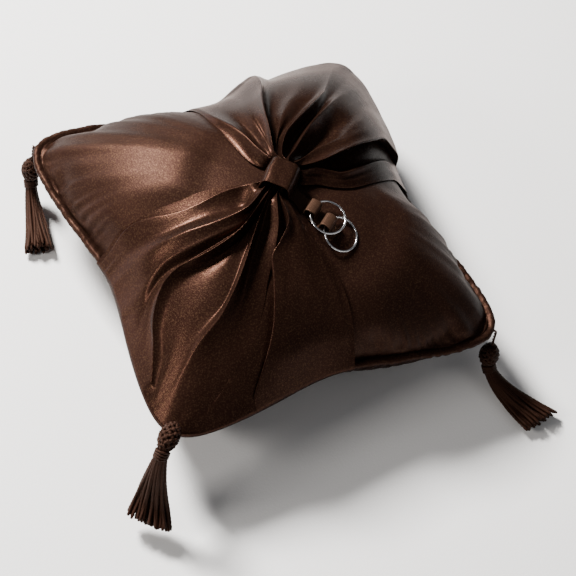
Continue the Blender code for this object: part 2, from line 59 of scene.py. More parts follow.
def makeCamera(spec):
    az, el, roll = (math.radians(spec[k]) for k in ("azimuth", "elevation", "roll"))
    back = Vector((math.sin(az) * math.cos(el), -math.cos(az) * math.cos(el), math.sin(el)))
    right = Vector((math.cos(az), math.sin(az), 0))
    up = back.cross(right)
    rolledRight = right * math.cos(roll) + up * math.sin(roll)
    rolledUp = up * math.cos(roll) - right * math.sin(roll)
    data = bpy.data.cameras.new("mainCamera")
    data.angle = math.radians(spec["viewAngle"])
    data.shift_x, data.shift_y = spec["shift"]
    data.clip_start, data.clip_end = spec["clip"]
    camera = bpy.data.objects.new("mainCamera", data)
    bpy.context.scene.collection.objects.link(camera)
    place = Vector((0, 0, pillow["seam"])) + back * spec["distance"]
    rows = [(rolledRight[i], rolledUp[i], back[i], place[i]) for i in range(3)] + [(0, 0, 0, 1)]
    camera.matrix_world = Matrix(rows)
    bpy.context.scene.camera = camera


def aimLight(name, spec):
    data = bpy.data.lights.new(name, "AREA")
    data.energy = spec["energy"]
    data.color = spec["colour"]
    data.shape = "RECTANGLE"
    data.size, data.size_y = spec["size"]
    lamp = bpy.data.objects.new(name, data)
    bpy.context.scene.collection.objects.link(lamp)
    lamp.location = spec["place"]
    lamp.rotation_euler = (Vector(spec["target"]) - Vector(spec["place"])).to_track_quat("-Z", "Y").to_euler()


makeCamera(cameraSpec)
lights = {
    "key": {"place": (-0.46, 1.02, 1.06), "target": (-0.03, 0.03, 0.05), "energy": 104, "size": (0.36, 0.36),
            "colour": (1.0, 0.97, 0.94)},
    "side": {"place": (-1.20, 0.05, 0.72), "target": (0, 0, 0.05), "energy": 10, "size": (0.45, 0.30),
             "colour": (1.0, 0.95, 0.90)},
    "fill": {"place": (0.60, -1.10, 1.00), "target": (0, 0, 0.03), "energy": 2.5, "size": (1.2, 1.2),
             "colour": (1.0, 0.96, 0.93)},
}
for lightName, lightSpec in lights.items():
    aimLight(lightName, lightSpec)
roomLight = {"colour": (0.93, 0.95, 1.0), "strength": 0.11}
world = bpy.data.worlds.new("studio")
bpy.context.scene.world = world
world.use_nodes = True
background = world.node_tree.nodes["Background"]
background.inputs["Color"].default_value = (*roomLight["colour"], 1)
background.inputs["Strength"].default_value = roomLight["strength"]
print("camera and lights set")


# Materials

class Wire:
    # an output socket of a node, with arithmetic
    def __init__(self, kit, socket):
        self.kit, self.socket = kit, socket

    def maths(self, operation, first, second):
        return self.kit.make("ShaderNodeMath", {"operation": operation}, {0: first, 1: second})

    def __add__(self, other):
        return self.maths("ADD", self, other)

    __radd__ = __add__

    def __sub__(self, other):
        return self.maths("SUBTRACT", self, other)

    def __rsub__(self, other):
        return self.maths("SUBTRACT", other, self)

    def __mul__(self, other):
        return self.maths("MULTIPLY", self, other)

    __rmul__ = __mul__

    def clamped(self, low, high):
        return self.kit.make("ShaderNodeClamp", {}, {"Value": self, "Min": low, "Max": high})


class NodeKit:
    def __init__(self, name):
        self.material = bpy.data.materials.new(name)
        self.material.use_nodes = True
        self.tree = self.material.node_tree
        self.shader = self.tree.nodes["Principled BSDF"]

    def make(self, kind, settings, sockets, output=0):
        node = self.tree.nodes.new(kind)
        for name, value in settings.items():
            setattr(node, name, value)
        self.join(node, sockets)
        return Wire(self, node.outputs[output])

    def join(self, node, sockets):
        for key, value in sockets.items():
            if isinstance(value, Wire):
                self.tree.links.new(value.socket, node.inputs[key])
            elif value is not None:
                node.inputs[key].default_value = value

    def place(self, scale=(1, 1, 1), turn=(0, 0, 0)):
        here = self.make("ShaderNodeTexCoord", {}, {}, "Object")
        return self.make("ShaderNodeMapping", {}, {"Vector": here, "Scale": scale, "Rotation": turn})

    def noise(self, size, detail=2.0, stretch=(1, 1, 1), turn=(0, 0, 0), distortion=0.0):
        return self.make("ShaderNodeTexNoise", {}, {"Vector": self.place(stretch, turn), "Scale": 1 / size,
                                                    "Detail": detail, "Distortion": distortion})

    def mix(self, factor, first, second):
        asColour = [v if isinstance(v, Wire) else (*v, 1) for v in (first, second)]
        return self.make("ShaderNodeMix", {"data_type": "RGBA"}, {0: factor, 6: asColour[0], 7: asColour[1]}, 2)

    def bump(self, height, depth, under=None):
        return self.make("ShaderNodeBump", {}, {"Height": height, "Distance": depth, "Normal": under})


# how much the sheen at a glancing angle keeps the brown of the cloth
brownEdge = (0.30, 0.19, 0.13, 1)


def satinFinish(name, spec):
    kit = NodeKit(name)
    grain = kit.noise(spec["grain"], 3.0)
    threads = kit.noise(spec["thread"], 2.0, (1.0, 0.3, 1.0), (0, 0, math.radians(spec["bias"])))
    broad = kit.noise(spec["patch"], 2.0)
    # painted highlight: where the fine grain is brightest, the base colour turns towards a bright warm glint
    # colour, so thread glints are painted into the cloth's colour
    glint = ((grain - spec["glintFrom"]) * spec["glintRise"]).clamped(0, 1)
    shade = kit.mix((broad * 1.8 - 0.4).clamped(0, 1), spec["dark"], spec["light"])
    colour = kit.mix(glint * spec["glint"], shade, spec["paintedGlint"])
    uneven = (threads - 0.5) * spec["threadSpread"]
    roughness = (spec["roughness"] + uneven + (broad - 0.5) * spec["patchSpread"]).clamped(0.2, 0.9)
    soft = kit.bump(kit.noise(spec["wrinkleSize"], 2.0, distortion=0.5), spec["wrinkle"])
    fine = kit.bump(threads * 0.5 + grain * 0.5, spec["weave"], soft)
    kit.join(kit.shader, {"Base Color": colour, "Roughness": roughness, "Normal": fine,
                          "Metallic": spec["metallic"], "Specular IOR Level": 0.22, "Specular Tint": brownEdge})
    return kit.material


# the bright colour of the painted thread glints; glint sets how much of it is painted in
satinLook = {"dark": (0.0135, 0.0055, 0.0040), "light": (0.0228, 0.0095, 0.0067), "paintedGlint": (0.20, 0.115, 0.060),
             "grain": 0.0008, "thread": 0.00072, "bias": 45, "patch": 0.045, "glint": 0.16, "glintFrom": 0.48,
             "glintRise": 3.5, "roughness": 0.46, "threadSpread": 0.20, "patchSpread": 0.10, "weave": 0.00011,
             "wrinkle": 0.00010, "wrinkleSize": 0.012, "metallic": 0.50}
# the sash gets stronger painted thread glints than the cover
sashLook = satinLook | {"light": (0.0265, 0.0110, 0.0077), "roughness": 0.31, "metallic": 0.62, "glint": 0.20}
satin = satinFinish("brownSatin", satinLook)
sashSatin = satinFinish("brownSashSatin", sashLook)


ribbonLook = {"dark": (0.022, 0.0105, 0.0068), "light": (0.066, 0.0355, 0.0225), "rib": 0.0007, "ribTurn": 52,
              "speckle": 0.0006, "depth": 0.00012, "roughness": 0.40, "spread": 0.16, "metallic": 0.45}


def ribbonFinish(name, spec):
    kit = NodeKit(name)
    # a wave texture at scale 1 has bands 0.314 apart
    ribs = kit.make("ShaderNodeTexWave", {"wave_type": "BANDS", "bands_direction": "X"},
                    {"Vector": kit.place((1, 1, 1), (0, 0, math.radians(spec["ribTurn"]))),
                     "Scale": 0.314 / spec["rib"], "Distortion": 1.2, "Detail": 2.0, "Detail Scale": 3.0})
    speckle = kit.noise(spec["speckle"], 3.0)
    colour = kit.mix((speckle * 1.4 - 0.2).clamped(0, 1), spec["dark"], spec["light"])
    fine = kit.bump(ribs * 0.6 + speckle * 0.4, spec["depth"])
    kit.join(kit.shader, {"Base Color": colour, "Roughness": spec["roughness"] + speckle * spec["spread"],
                          "Normal": fine, "Metallic": spec["metallic"], "Specular IOR Level": 0.2,
                          "Specular Tint": brownEdge})
    return kit.material


ribbon = ribbonFinish("brownRibbon", ribbonLook)


threadLook = {"dark": (0.0060, 0.0023, 0.0015), "light": (0.0270, 0.0105, 0.0068), "fibre": 0.0007,
              "patch": 0.006, "depth": 0.00018, "roughness": 0.52, "spread": 0.2}


def threadFinish(name, spec):
    kit = NodeKit(name)
    fibres = kit.noise(spec["fibre"], 4.0, distortion=0.8)
    patches = kit.noise(spec["patch"], 2.0)
    colour = kit.mix((fibres * 1.5 - 0.25).clamped(0, 1), spec["dark"], spec["light"])
    fine = kit.bump(fibres, spec["depth"])
    kit.join(kit.shader, {"Base Color": colour, "Roughness": spec["roughness"] + patches * spec["spread"],
                          "Normal": fine, "Specular IOR Level": 0.25, "Specular Tint": (0.6, 0.36, 0.24, 1)})
    return kit.material


thread = threadFinish("brownThread", threadLook)


silverLook = {"dark": (0.82, 0.82, 0.84), "light": (0.90, 0.90, 0.91), "smear": 0.012, "roughness": 0.14,
              "spread": 0.08, "depth": 0.000005}


def silverFinish(name, spec):
    kit = NodeKit(name)
    smear = kit.noise(spec["smear"], 2.0)
    kit.join(kit.shader, {"Base Color": kit.mix(smear, spec["dark"], spec["light"]), "Metallic": 1.0,
                          "Roughness": spec["roughness"] + smear * spec["spread"],
                          "Normal": kit.bump(smear, spec["depth"])})
    return kit.material


silver = silverFinish("polishedSilver", silverLook)


floorLook = {"dark": (0.86, 0.86, 0.86), "light": (0.92, 0.92, 0.915), "cloud": 0.20, "weave": 0.0012,
             "depth": 0.0001, "roughness": 0.75, "reach": 3}


def floorFinish(name, spec):
    kit = NodeKit(name)
    cloud = kit.noise(spec["cloud"], 2.0)
    weave = kit.noise(spec["weave"], 2.0)
    colour = kit.mix(cloud * 0.6 + weave * 0.4, spec["dark"], spec["light"])
    kit.join(kit.shader, {"Base Color": colour, "Roughness": spec["roughness"],
                          "Normal": kit.bump(weave, spec["depth"])})
    return kit.material


def bareMesh(name, points, faces):
    mesh = bpy.data.meshes.new(name)
    faces = [tuple(int(v) for v in f) for f in faces]
    mesh.from_pydata([tuple(p) for p in np.asarray(points, float)], [], faces)
    made = bpy.data.objects.new(name, mesh)
    bpy.context.scene.collection.objects.link(made)
    return made


def addMesh(name, points, faces, finish, body=None, smoothAngle=180):
    made = bareMesh(name, points, faces)
    made.data.materials.append(finish)
    made.data.shade_smooth()
    if smoothAngle < 180:
        made.data.set_sharp_from_angle(angle=math.radians(smoothAngle))
    if body:
        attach(made, body)
    return made


def gridFaces(rows, columns, start=0, closedColumns=False, closedRows=False, flip=False):
    lastColumn = columns if closedColumns else columns - 1
    lastRow = rows if closedRows else rows - 1
    r, c = np.meshgrid(np.arange(lastRow), np.arange(lastColumn), indexing="ij")
    nextR, nextC = (r + 1) % rows, (c + 1) % columns
    here, ahead = r * columns, nextR * columns
    quads = np.stack([here + c, here + nextC, ahead + nextC, ahead + c], -1)
    quads = quads.reshape(-1, 4) + start
    return quads[:, ::-1] if flip else quads


reach = floorLook["reach"]
floor = addMesh("floor", [(-reach, -reach, 0), (reach, -reach, 0), (reach, reach, 0), (-reach, reach, 0)],
                [(0, 1, 2, 3)], floorFinish("paleFloor", floorLook))
print("materials made")


# Shape of the pillow. A share is how far out a place lies, from 0 at the middle to 1 at the seam.

def outlineRadius(angle):
    c, s = np.abs(np.cos(angle)), np.abs(np.sin(angle))
    n = pillow["sharpness"]
    square = (c**n + s**n) ** (-1 / n)
    return square * (pillow["half"] - pillow["sidePull"] * np.cos(2 * angle) ** 2)


def outlinePoint(angle):
    radius = outlineRadius(angle)
    return np.stack([radius * np.cos(angle), radius * np.sin(angle)], -1)


def outlineNormal(angle):
    step = 0.004
    ahead, behind = angle + step, angle - step
    dx = outlineRadius(ahead) * np.cos(ahead) - outlineRadius(behind) * np.cos(behind)
    dy = outlineRadius(ahead) * np.sin(ahead) - outlineRadius(behind) * np.sin(behind)
    size = np.hypot(dx, dy)
    return np.stack([dy / size, -dx / size], -1)


def fullness(angle):
    corner = np.sin(2 * angle) ** 2
    return pillow["sideFullness"] + (pillow["cornerFullness"] - pillow["sideFullness"]) * corner**3


def domeRise(share, angle):
    rise = np.maximum(0, 1 - np.minimum(share, 1) ** pillow["domePower"]) ** fullness(angle)
    return (pillow["crown"] - pillow["rim"]) * rise


def topHeight(x, y):
    angle = np.arctan2(y, x)
    share = np.hypot(x, y) / outlineRadius(angle)
    return pillow["seam"] + pillow["rim"] + domeRise(share, angle)


def underHeight(share, angle):
    beyond = np.maximum(0, (share - pillow["restShare"]) / (1 - pillow["restShare"]))
    fall = np.maximum(0, 1 - beyond ** pillow["domePower"]) ** fullness(angle)
    depth = (pillow["seam"] - pillow["rim"]) * fall
    return pillow["seam"] - pillow["rim"] - depth


def smoothLine(points, count):
    # a smooth curve through a few points, evenly sampled
    points = np.asarray(points, float)
    padded = np.vstack([2 * points[0] - points[1], points, 2 * points[-1] - points[-2]])
    fine = []
    steps = 16
    for k in range(1, len(padded) - 2):
        p0, p1, p2, p3 = padded[k - 1:k + 3]
        t = (np.arange(steps) / steps)[:, None]
        fine.append(0.5 * (2 * p1 + (p2 - p0) * t + (2 * p0 - 5 * p1 + 4 * p2 - p3) * t**2
                           + (3 * p1 - p0 - 3 * p2 + p3) * t**3))
    fine = np.vstack(fine + [points[-1:]])
    reach = np.concatenate([[0], np.cumsum(np.linalg.norm(np.diff(fine[:, :2], axis=0), axis=1))])
    wanted = np.linspace(0, reach[-1], count)
    return np.stack([np.interp(wanted, reach, fine[:, i]) for i in range(fine.shape[1])], -1)


# Sash. Each fold line runs outward from the knot: points of (x, y, height above the cover) in millimetres,
# then the direction in degrees at which it meets the seam and its height there, and how sharp its crest is
# near the knot and near the seam.

frontFolds = [
    ("edge", [(-17, 4, 1.6), (-29, 9, 1.4), (-46, 12, 1.3), (-60, 14, 1.2), (-72, 17, 1.2), (-82, 17, 1.3)],
     171, 2.8, (0, 0)),
    ("tuck", [(-17, 0, 2.5), (-30, 3, 1.6), (-47, 3, 1.5), (-58, 4, 1.5), (-70, 10, 1.4), (-80, 13, 1.5)],
     173, 2.9, (0, 0)),
    ("pleat", [(-16, 1, 8.5), (-30, 4, 6.5), (-47, 4, 5.2), (-58, 6, 4.7), (-70, 12, 3.9), (-80, 15, 3.4)],
     172.5, 3.4, (1, 1)),
    ("hollow", [(-17, -3, 8), (-25, -6, 2.2), (-34, -5, 3), (-46, -4, 4.5), (-62, -2, 4.8), (-76, 3, 4.3)],
     177, 4.2, (0, 0)),
    ("lip", [(-14, -6, 11.5), (-25, -13, 11.9), (-35, -14, 10), (-47, -13, 9.5), (-62, -10, 9.5),
        (-78, -8, 8.2)], 184, 4.6, (1, 0)),
    ("puff", [(-14, -8, 8), (-29, -17, 6.5), (-42, -19, 7), (-57, -19, 7.2), (-72, -17, 6.8),
        (-84, -20, 5.6)], 194, 4.4, (0, 0)),
    ("dent", [(-13.4, -8.6, 9.5), (-30.5, -19.5, 5), (-44, -22.5, 3.6), (-59, -23.5, 2.6), (-74, -23, 2.2),
        (-84, -28, 2.2)], 203, 2.9, (0, 0)),
    ("ridgeOne", [(-13, -9, 11), (-32, -22, 10.4), (-45, -26, 9.1), (-58, -27, 8.6), (-71, -26, 8.1),
        (-80, -30, 7.8), (-88, -41, 7), (-93, -55, 6)], 215, 3.8, (0.4, 1)),
    ("valleyOne", [(-12, -11, 8.5), (-29, -23, 2.2), (-49, -30, 1.5), (-65, -32, 1.4), (-77, -38, 1.3),
        (-85, -49, 1.3), (-90, -62, 1.5)], 217, 2.9, (0, 0)),
    ("lens", [(-17, -15, 5.5), (-34, -26, 2.4), (-46, -35, 2.3), (-60, -43, 2.2), (-73, -51, 2.2),
        (-84, -62, 2.2)], 218.3, 3.1, (0, 0)),
    ("valleyTwo", [(-18, -17, 4.5), (-35, -33, 2), (-46, -45, 1.7), (-56, -54, 1.7), (-67, -59, 1.8),
        (-80, -66, 2)], 219.4, 2.8, (0, 0)),
    ("ridgeTwo", [(-11, -9, 11.5), (-21, -19, 12.8), (-32, -32, 10.8), (-42, -44, 9.7), (-52, -54, 8.9),
        (-62, -62, 8.1), (-74, -67, 5), (-84, -74, 2.8)], 221.5, 2.7, (1, 0.8)),
    ("slope", [(-12, -12, 8.5), (-22, -25, 3.4), (-33, -39, 2.6), (-42, -52, 2.6), (-51, -64, 2.6),
        (-64, -74, 2.1), (-77, -82, 1.7)], 225, 2.5, (0, 0)),
    ("nip", [(-8.6, -12, 11.4), (-13.5, -27, 8.2), (-20, -39, 4.6), (-29, -52, 2.4), (-38, -66, 2.4),
        (-50, -79, 2.5), (-64, -88, 2.2)], 229.5, 2.7, (1, 0)),
    ("pocket", [(-10, -12, 7.5), (-18, -28, 1.8), (-27, -43, 1.5), (-34, -56, 1.7), (-41, -68, 2.4),
        (-52, -80, 2.6), (-66, -89, 2.2)], 234, 2.7, (0, 0)),
    ("wall", [(-7, -12, 8), (-8, -27, 2.4), (-16, -37, 1.8), (-23, -43, 1.6), (-26, -53, 1.6),
        (-30, -65, 1.7), (-35, -76, 1.9), (-42, -85, 2.4)], 242.5, 3.1, (0, 0)),
    ("ridgeThree", [(-7, -11, 11), (-8.5, -27, 10.8), (-17, -36, 8.6), (-24, -41.5, 7.8), (-27, -51, 7.3),
        (-31, -63, 6.8), (-35.5, -74, 6.5), (-42, -84, 5.9)], 241.5, 4, (1, 1)),
    ("panel", [(-4, -14, 8.5), (-3, -28, 6.8), (-8, -45, 5.6), (-12, -62, 5), (-14, -78, 4.6)],
     260, 3.8, (0, 0)),
    ("panelRim", [(-0.5, -16, 5.5), (1.5, -32, 4), (4, -50, 3.4), (6, -68, 3.2), (7, -80, 3.2)],
     273, 3.5, (0.3, 0.6)),
    ("edge", [(1.5, -14, 3), (4, -22, 2.6), (6.5, -38, 2.2), (10, -57, 2), (12, -72, 2), (12, -83, 2)],
     277.5, 2.9, (0, 0)),
]
rearFolds = [
    ("edge", [(-5, 13, 2), (-9, 19, 1.6), (-11.5, 30, 1.4), (-13, 46, 1.3), (-13, 60, 1.2), (-12, 76, 1.3)],
     98, 2.8, (0, 0)),
    ("bandRim", [(-2, 13, 11), (-4, 23, 8.5), (-5, 34, 7.5), (-7, 45, 6.4), (-10, 55, 5), (-11, 65, 3.6),
        (-10, 77, 2.9)], 96.4, 3.6, (0.8, 0.3)),
    ("dip", [(-0.5, 15, 8.5), (-0.5, 27, 6), (-0.5, 40, 4.6), (-1.5, 53, 3.8), (-2, 68, 3)],
     91, 3.6, (0, 0)),
    ("puffLeft", [(1.5, 15, 9.5), (3.5, 29, 8.6), (5, 43, 8.6), (8, 58, 6.4), (12, 73, 4.2)],
     81, 4.2, (0, 0)),
    ("ridgeA", [(1.5, 12.5, 12.5), (3.5, 20, 12), (7, 31, 13.6), (11, 45, 15), (17, 59, 14.6), (25, 73, 13)],
     70, 10.5, (1, 1)),
    ("valleyA", [(2.8, 13, 7), (6.5, 23, 3.6), (11.5, 33, 2.6), (17.5, 45, 2.4), (26, 58, 2.6), (35, 71, 3)],
     63, 4.4, (0, 0)),
    ("puffBack", [(4, 13, 7), (9.5, 24, 5), (16, 34, 5), (24, 44, 5.4), (36, 56, 5), (49, 68, 4.6)],
     54.5, 4.6, (0, 0)),
    ("creaseB", [(4.6, 12, 7), (8.5, 21, 4.4), (14.5, 29.5, 3.4), (22, 36, 3), (32, 43.5, 2.8), (43, 52, 3),
        (53, 60.5, 3.6)], 50, 4.4, (0, 0)),
    ("ridgeB", [(5, 11, 12.5), (9, 18.5, 12.2), (15, 25.5, 13), (22, 30.5, 14), (32, 37, 14), (43, 45, 12),
        (53, 53, 9.4), (63, 63, 6.6)], 46.5, 5, (1, 1)),
    ("valleyB", [(7, 10, 7.5), (12.5, 15.5, 4.6), (19.5, 22.5, 4.4), (29, 30, 5.4), (42, 39, 6.2),
        (60, 54, 5.6)], 42, 4.8, (0, 0)),
    ("ridgeC", [(8.5, 9, 11.5), (15.5, 14.5, 10.2), (23.5, 21.5, 10.4), (33, 29, 11.4), (46, 38, 11),
        (64, 51, 8.4)], 36, 6, (1, 0)),
    ("groove", [(11, 7.5, 7.5), (21, 13, 2.6), (31, 18.5, 2.2), (41, 23.5, 2.8), (50, 28.5, 5),
        (62, 36, 7.4), (78, 48, 7)], 29, 6.4, (0, 0)),
    ("pleatEnd", [(12, 5, 11), (26, 11, 9.8), (37, 14.5, 9.4), (46, 18, 9), (56, 22.5, 10), (70, 30, 10),
        (82, 38, 8.4)], 22.5, 7, (1, 0)),
    ("upperRoll", [(13.5, 3.5, 8.5), (27, 7.5, 8.8), (40, 11.5, 9.8), (53, 16, 11), (68, 22, 11),
        (82, 29, 9)], 18, 7.2, (0, 0)),
    ("upperEdge", [(14, 1.8, 11), (27, 2.5, 11.4), (41, 6, 12.4), (55, 10.5, 13), (70, 16, 12),
        (83, 23, 9.6)], 14, 7, (0.9, 0.9)),
    ("cavityRoof", [(15, 5, 3.5), (30, 11, 1.6), (45, 16, 1.4), (60, 21, 1.4), (76, 27, 1.6)],
     15.5, 3.6, (0, 0)),
    ("cavity", [(13, 1.2, 4), (30, 3, 1.5), (48, 7, 1.4), (66, 12, 1.4), (80, 17, 1.6)], 10.6, 3, (0, 0)),
    ("flap", [(12.5, -0.5, 10), (22, 0.5, 8.6), (30, -2.5, 7.6), (38, -4.5, 6.8), (51, -1, 6), (66, 5.5, 5),
        (78, 10.5, 4)], 7.5, 3.6, (1, 1)),
    ("flapFace", [(12, -2.5, 6), (22, -3.5, 4.6), (33, -7.5, 3.6), (46, -6.5, 3.2), (62, -1.5, 3.1),
        (77, 5, 2.9)], 4.6, 3.2, (0, 0)),
    ("edge", [(11, -4.5, 2), (21, -7, 1.6), (30, -10.5, 1.4), (41, -12, 1.3), (55, -9, 1.2), (70, -4, 1.2),
        (82, 1, 1.3)], 1.5, 2.8, (0, 0)),
]
# mouth: where the cloth leaves the knot. A fold that meets the seam higher than billowFrom puffs outward.
sashShape = {"rows": 130, "columns": 300, "wrapRows": 16, "underRows": 10, "underShare": 0.865,
             "flat": (0.190, 0.360), "mouth": 0.0082, "mouthHalfWidth": 0.0076, "mouthLow": 0.0972,
             "mouthHigh": 0.1068, "mouthFall": 0.0022, "crestSlope": 2.3, "evenWeight": 0.0015,
             "ripple": 0.0003, "clearance": 0.0012, "tautFrom": 0.86, "pipingReach": 0.0052,
             "wrapDrop": 0.0036, "wrapRound": 1.35, "slopeDown": 22, "billowSlope": 26, "billowFrom": 0.0040,
             "billowSpan": 0.0050, "billowOut": 0.0010, "billowUp": 0.0010, "tuckFrom": 0.62, "tuckIn": 0.040,
             "insideSteps": 6}


def hermite(u, start, end, startSlope, endSlope):
    # from start to end as u goes from 0 to 1, with the slopes asked for
    return ((2 * u**3 - 3 * u**2 + 1) * start + (u**3 - 2 * u**2 + u) * startSlope
            + (3 * u**2 - 2 * u**3) * end + (u**3 - u**2) * endSlope)


def foldLines(folds, side):
    # every fold as a line from the knot to the seam, with its sharpness along the way
    rows = sashShape["rows"]
    lines, sharp = [], []
    for k, (_, points, seamAngle, seamLift, sharpness) in enumerate(folds):
        part = 1 - 2 * k / (len(folds) - 1)
        start = along * side * sashShape["mouth"] + across * part * sashShape["mouthHalfWidth"]
        startHeight = sashShape["mouthHigh"] if sharpness[0] > 0.3 else sashShape["mouthLow"]
        startHeight -= sashShape["mouthFall"] * part**2
        end = outlinePoint(np.array(math.radians(seamAngle)))
        line = [(start.x, start.y, startHeight - float(topHeight(start.x, start.y)))]
        line += [(x / 1000, y / 1000, height / 1000) for x, y, height in points]
        lines.append(smoothLine(line + [(end[0], end[1], seamLift / 1000)], rows))
        sharp.append(np.linspace(sharpness[0], sharpness[1], rows))
    return np.array(lines), sharp


def fanGrid(folds, side):
    # columns of cloth shared out between the fold lines, more of them where the cloth is wide or steep
    lines, sharp = foldLines(folds, side)
    angles = [math.radians(fold[2]) for fold in folds]
    lifts = [fold[3] / 1000 for fold in folds]
    outerRows = sashShape["rows"] // 3
    gaps = np.linalg.norm(lines[1:, :, :2] - lines[:-1, :, :2], axis=2)[:, outerRows:].mean(1)
    heights = np.abs(lines[1:, :, 2] - lines[:-1, :, 2]).mean(1)
    weight = gaps + heights + sashShape["evenWeight"]
    share = np.concatenate([[0], np.cumsum(weight)]) / weight.sum()
    counts = np.maximum(np.round(np.diff(share) * (sashShape["columns"] - 1)).astype(int), 5)
    counts[np.argmax(counts)] += sashShape["columns"] - 1 - counts.sum()
    columns, seamAngles, seamLifts = [], [], []
    for k, count in enumerate(counts):
        last = k == len(counts) - 1
        for u in (np.arange(count + 1) if last else np.arange(count)) / count:
            a, b = lines[k], lines[k + 1]
            rise = b[:, 2] - a[:, 2]
            slopeA, slopeB = (sharp[n] * sashShape["crestSlope"] * rise for n in (k, k + 1))
            height = hermite(u, a[:, 2], b[:, 2], slopeA, slopeB)
            columns.append(np.column_stack([a[:, :2] + (b[:, :2] - a[:, :2]) * u, height]))
            seamAngles.append(angles[k] + (angles[k + 1] - angles[k]) * u)
            seamLifts.append(lifts[k] + (lifts[k + 1] - lifts[k]) * u * u * (3 - 2 * u))
    return np.array(columns), np.array(seamAngles), np.array(seamLifts)


def blurAcross(values, passes):
    for _ in range(passes):
        middle = values[1:-1] * 0.5 + (values[:-2] + values[2:]) * 0.25
        values = np.concatenate([values[:1], middle, values[-1:]])
    return values


def upperHull(line):
    hull = []
    for point in line:
        while len(hull) > 1 and ((hull[-1][0] - hull[-2][0]) * (point[1] - hull[-2][1])
                                 >= (hull[-1][1] - hull[-2][1]) * (point[0] - hull[-2][0])):
            hull.pop()
        hull.append(point)
    return np.array(hull)


def wrapRows(base, normal, high, billow):
    # over the piping, sloping down from the top and arriving upright, then in under the seam
    shape = sashShape
    out = shape["pipingReach"] + billow * shape["billowOut"]
    middle = pillow["seam"] + billow * shape["billowUp"]
    dip = np.radians(shape["slopeDown"] + shape["billowSlope"] * billow)
    wrap = []
    for k in range(1, shape["wrapRows"] + 1):
        t = 2 * k / shape["wrapRows"]
        if t <= 1:
            size = np.hypot(out, high - middle) * shape["wrapRound"]
            goOut = hermite(t, 0, out, np.cos(dip) * size, 0)
            goUp = hermite(t, high, middle, -np.sin(dip) * size, -size)
        else:
            turn = (t - 1) * math.pi / 2
            goOut = out * math.cos(turn)
            goUp = middle + (pillow["seam"] - shape["wrapDrop"] - middle) * math.sin(turn)
        wrap.append(np.column_stack([base + normal * goOut[:, None], goUp]))
    return wrap


def pullTaut(top, wrap, base, normal):
    # the cloth is stretched over what it covers, so it keeps the upper hull of its own section
    half = sashShape["wrapRows"] // 2
    columns, rows, _ = top.shape
    first = int(rows * sashShape["tautFrom"])
    for i in range(columns):
        line = np.concatenate([top[i, first:], [row[i] for row in wrap[:half]]])
        offset = (line[:, :2] - base[i]) @ normal[i]
        hull = upperHull(zip(offset, line[:, 2]))
        taut = np.interp(offset, hull[:, 0], hull[:, 1])
        top[i, first:, 2] = taut[:rows - first]
        for k in range(half):
            wrap[k][i, 2] = taut[rows - first + k]


def underRows(base, angles):
    rows = []
    for k in range(1, sashShape["underRows"] + 1):
        share = 1 - (1 - sashShape["underShare"]) * k / sashShape["underRows"]
        z = underHeight(np.full_like(angles, share), angles) - sashShape["clearance"]
        if k < 3:
            z = np.minimum(z, pillow["seam"] - sashShape["wrapDrop"] * k / 3 - 0.0002)
        rows.append(np.column_stack([base * share, z]))
    return rows


def fanSurface(folds, side, seed):
    grid, angles, lifts = fanGrid(folds, side)
    grid = blurAcross(grid, 2)
    angles, lifts = blurAcross(angles, 3), blurAcross(lifts, 8)
    columns, rows, _ = grid.shape
    draw = random.Random(seed)
    reach = np.linspace(0, 1, rows)[None, :]
    spread = np.linspace(0, 1, columns)[:, None]
    ripple = np.zeros((columns, rows))
    for _ in range(26):
        waves, drift, phase = draw.uniform(6, 26), draw.uniform(-2.5, 2.5), draw.uniform(0, fullTurn)
        turn = fullTurn * (waves * spread + drift * reach) + phase
        ripple += np.sin(turn) * draw.uniform(0.3, 1) / waves
    calm = np.clip(np.minimum(spread, 1 - spread) * 25, 0, 1)
    calm = calm * np.clip((1 - reach) * 8, 0, 1) * np.clip(reach * 8, 0, 1)
    height = np.maximum(grid[:, :, 2] + ripple * calm * sashShape["ripple"], sashShape["clearance"])
    x, y = grid[:, :, 0], grid[:, :, 1]
    late = np.clip((reach - sashShape["tuckFrom"]) / (1 - sashShape["tuckFrom"]), 0, 1)
    billow = np.clip((lifts - sashShape["billowFrom"]) / sashShape["billowSpan"], 0, 1)
    inward = 1 - sashShape["tuckIn"] * billow[:, None] * late**2
    top = np.stack([x, y, topHeight(x * inward, y * inward) + height], -1)
    base, normal = outlinePoint(angles), outlineNormal(angles)
    wrap = wrapRows(base, normal, top[:, -1, 2], billow)
    pullTaut(top, wrap, base, normal)
    edges = [np.array(part).transpose(1, 0, 2) for part in (wrap, underRows(base, angles))]
    return np.concatenate([top] + edges, axis=1)


front = fanSurface(frontFolds, -1, 3)
rear = fanSurface(rearFolds, 1, 5)
insideSteps = sashShape["insideSteps"]
inside = [front[:, :1] + (rear[:, :1] - front[:, :1]) * k / insideSteps for k in range(1, insideSteps)]
sashGrid = np.concatenate([front[:, ::-1]] + inside + [rear], axis=1)
columnCount, rowCount, _ = sashGrid.shape
sash = addMesh("sashFabric", sashGrid.reshape(-1, 3), gridFaces(columnCount, rowCount, flip=True), sashSatin,
               "pillow")
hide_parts("sash")
print("sash made, area", sum(f.area for f in sash.data.polygons))


# Cushion: a closed case, inflated as cloth with its seam held, then gathered a little along the seam

# cap: how far the cloth may move at most. The puckers are short near the seam and longer further in.
cushionSpec = {"steps": 32, "finer": 3, "pressure": 4.0, "growth": 0.035, "frames": 18, "cap": 0.0035,
               "sashCap": 0.0003, "puckerReach": 0.007, "puckerWave": 0.0070, "puckerFrom": 0.0015,
               "pucker": 0.00072, "cornerCalm": 0.85, "longer": 3, "further": 3.2, "longFrom": 0.004, "longPucker": 0.00030,
               "longCorner": 0.00042, "footHeight": 0.004, "seed": 11,
               "cloth": {"quality": 6, "mass": 0.15, "tension_stiffness": 12, "compression_stiffness": 12,
                         "shear_stiffness": 5, "bending_stiffness": 0.05}}

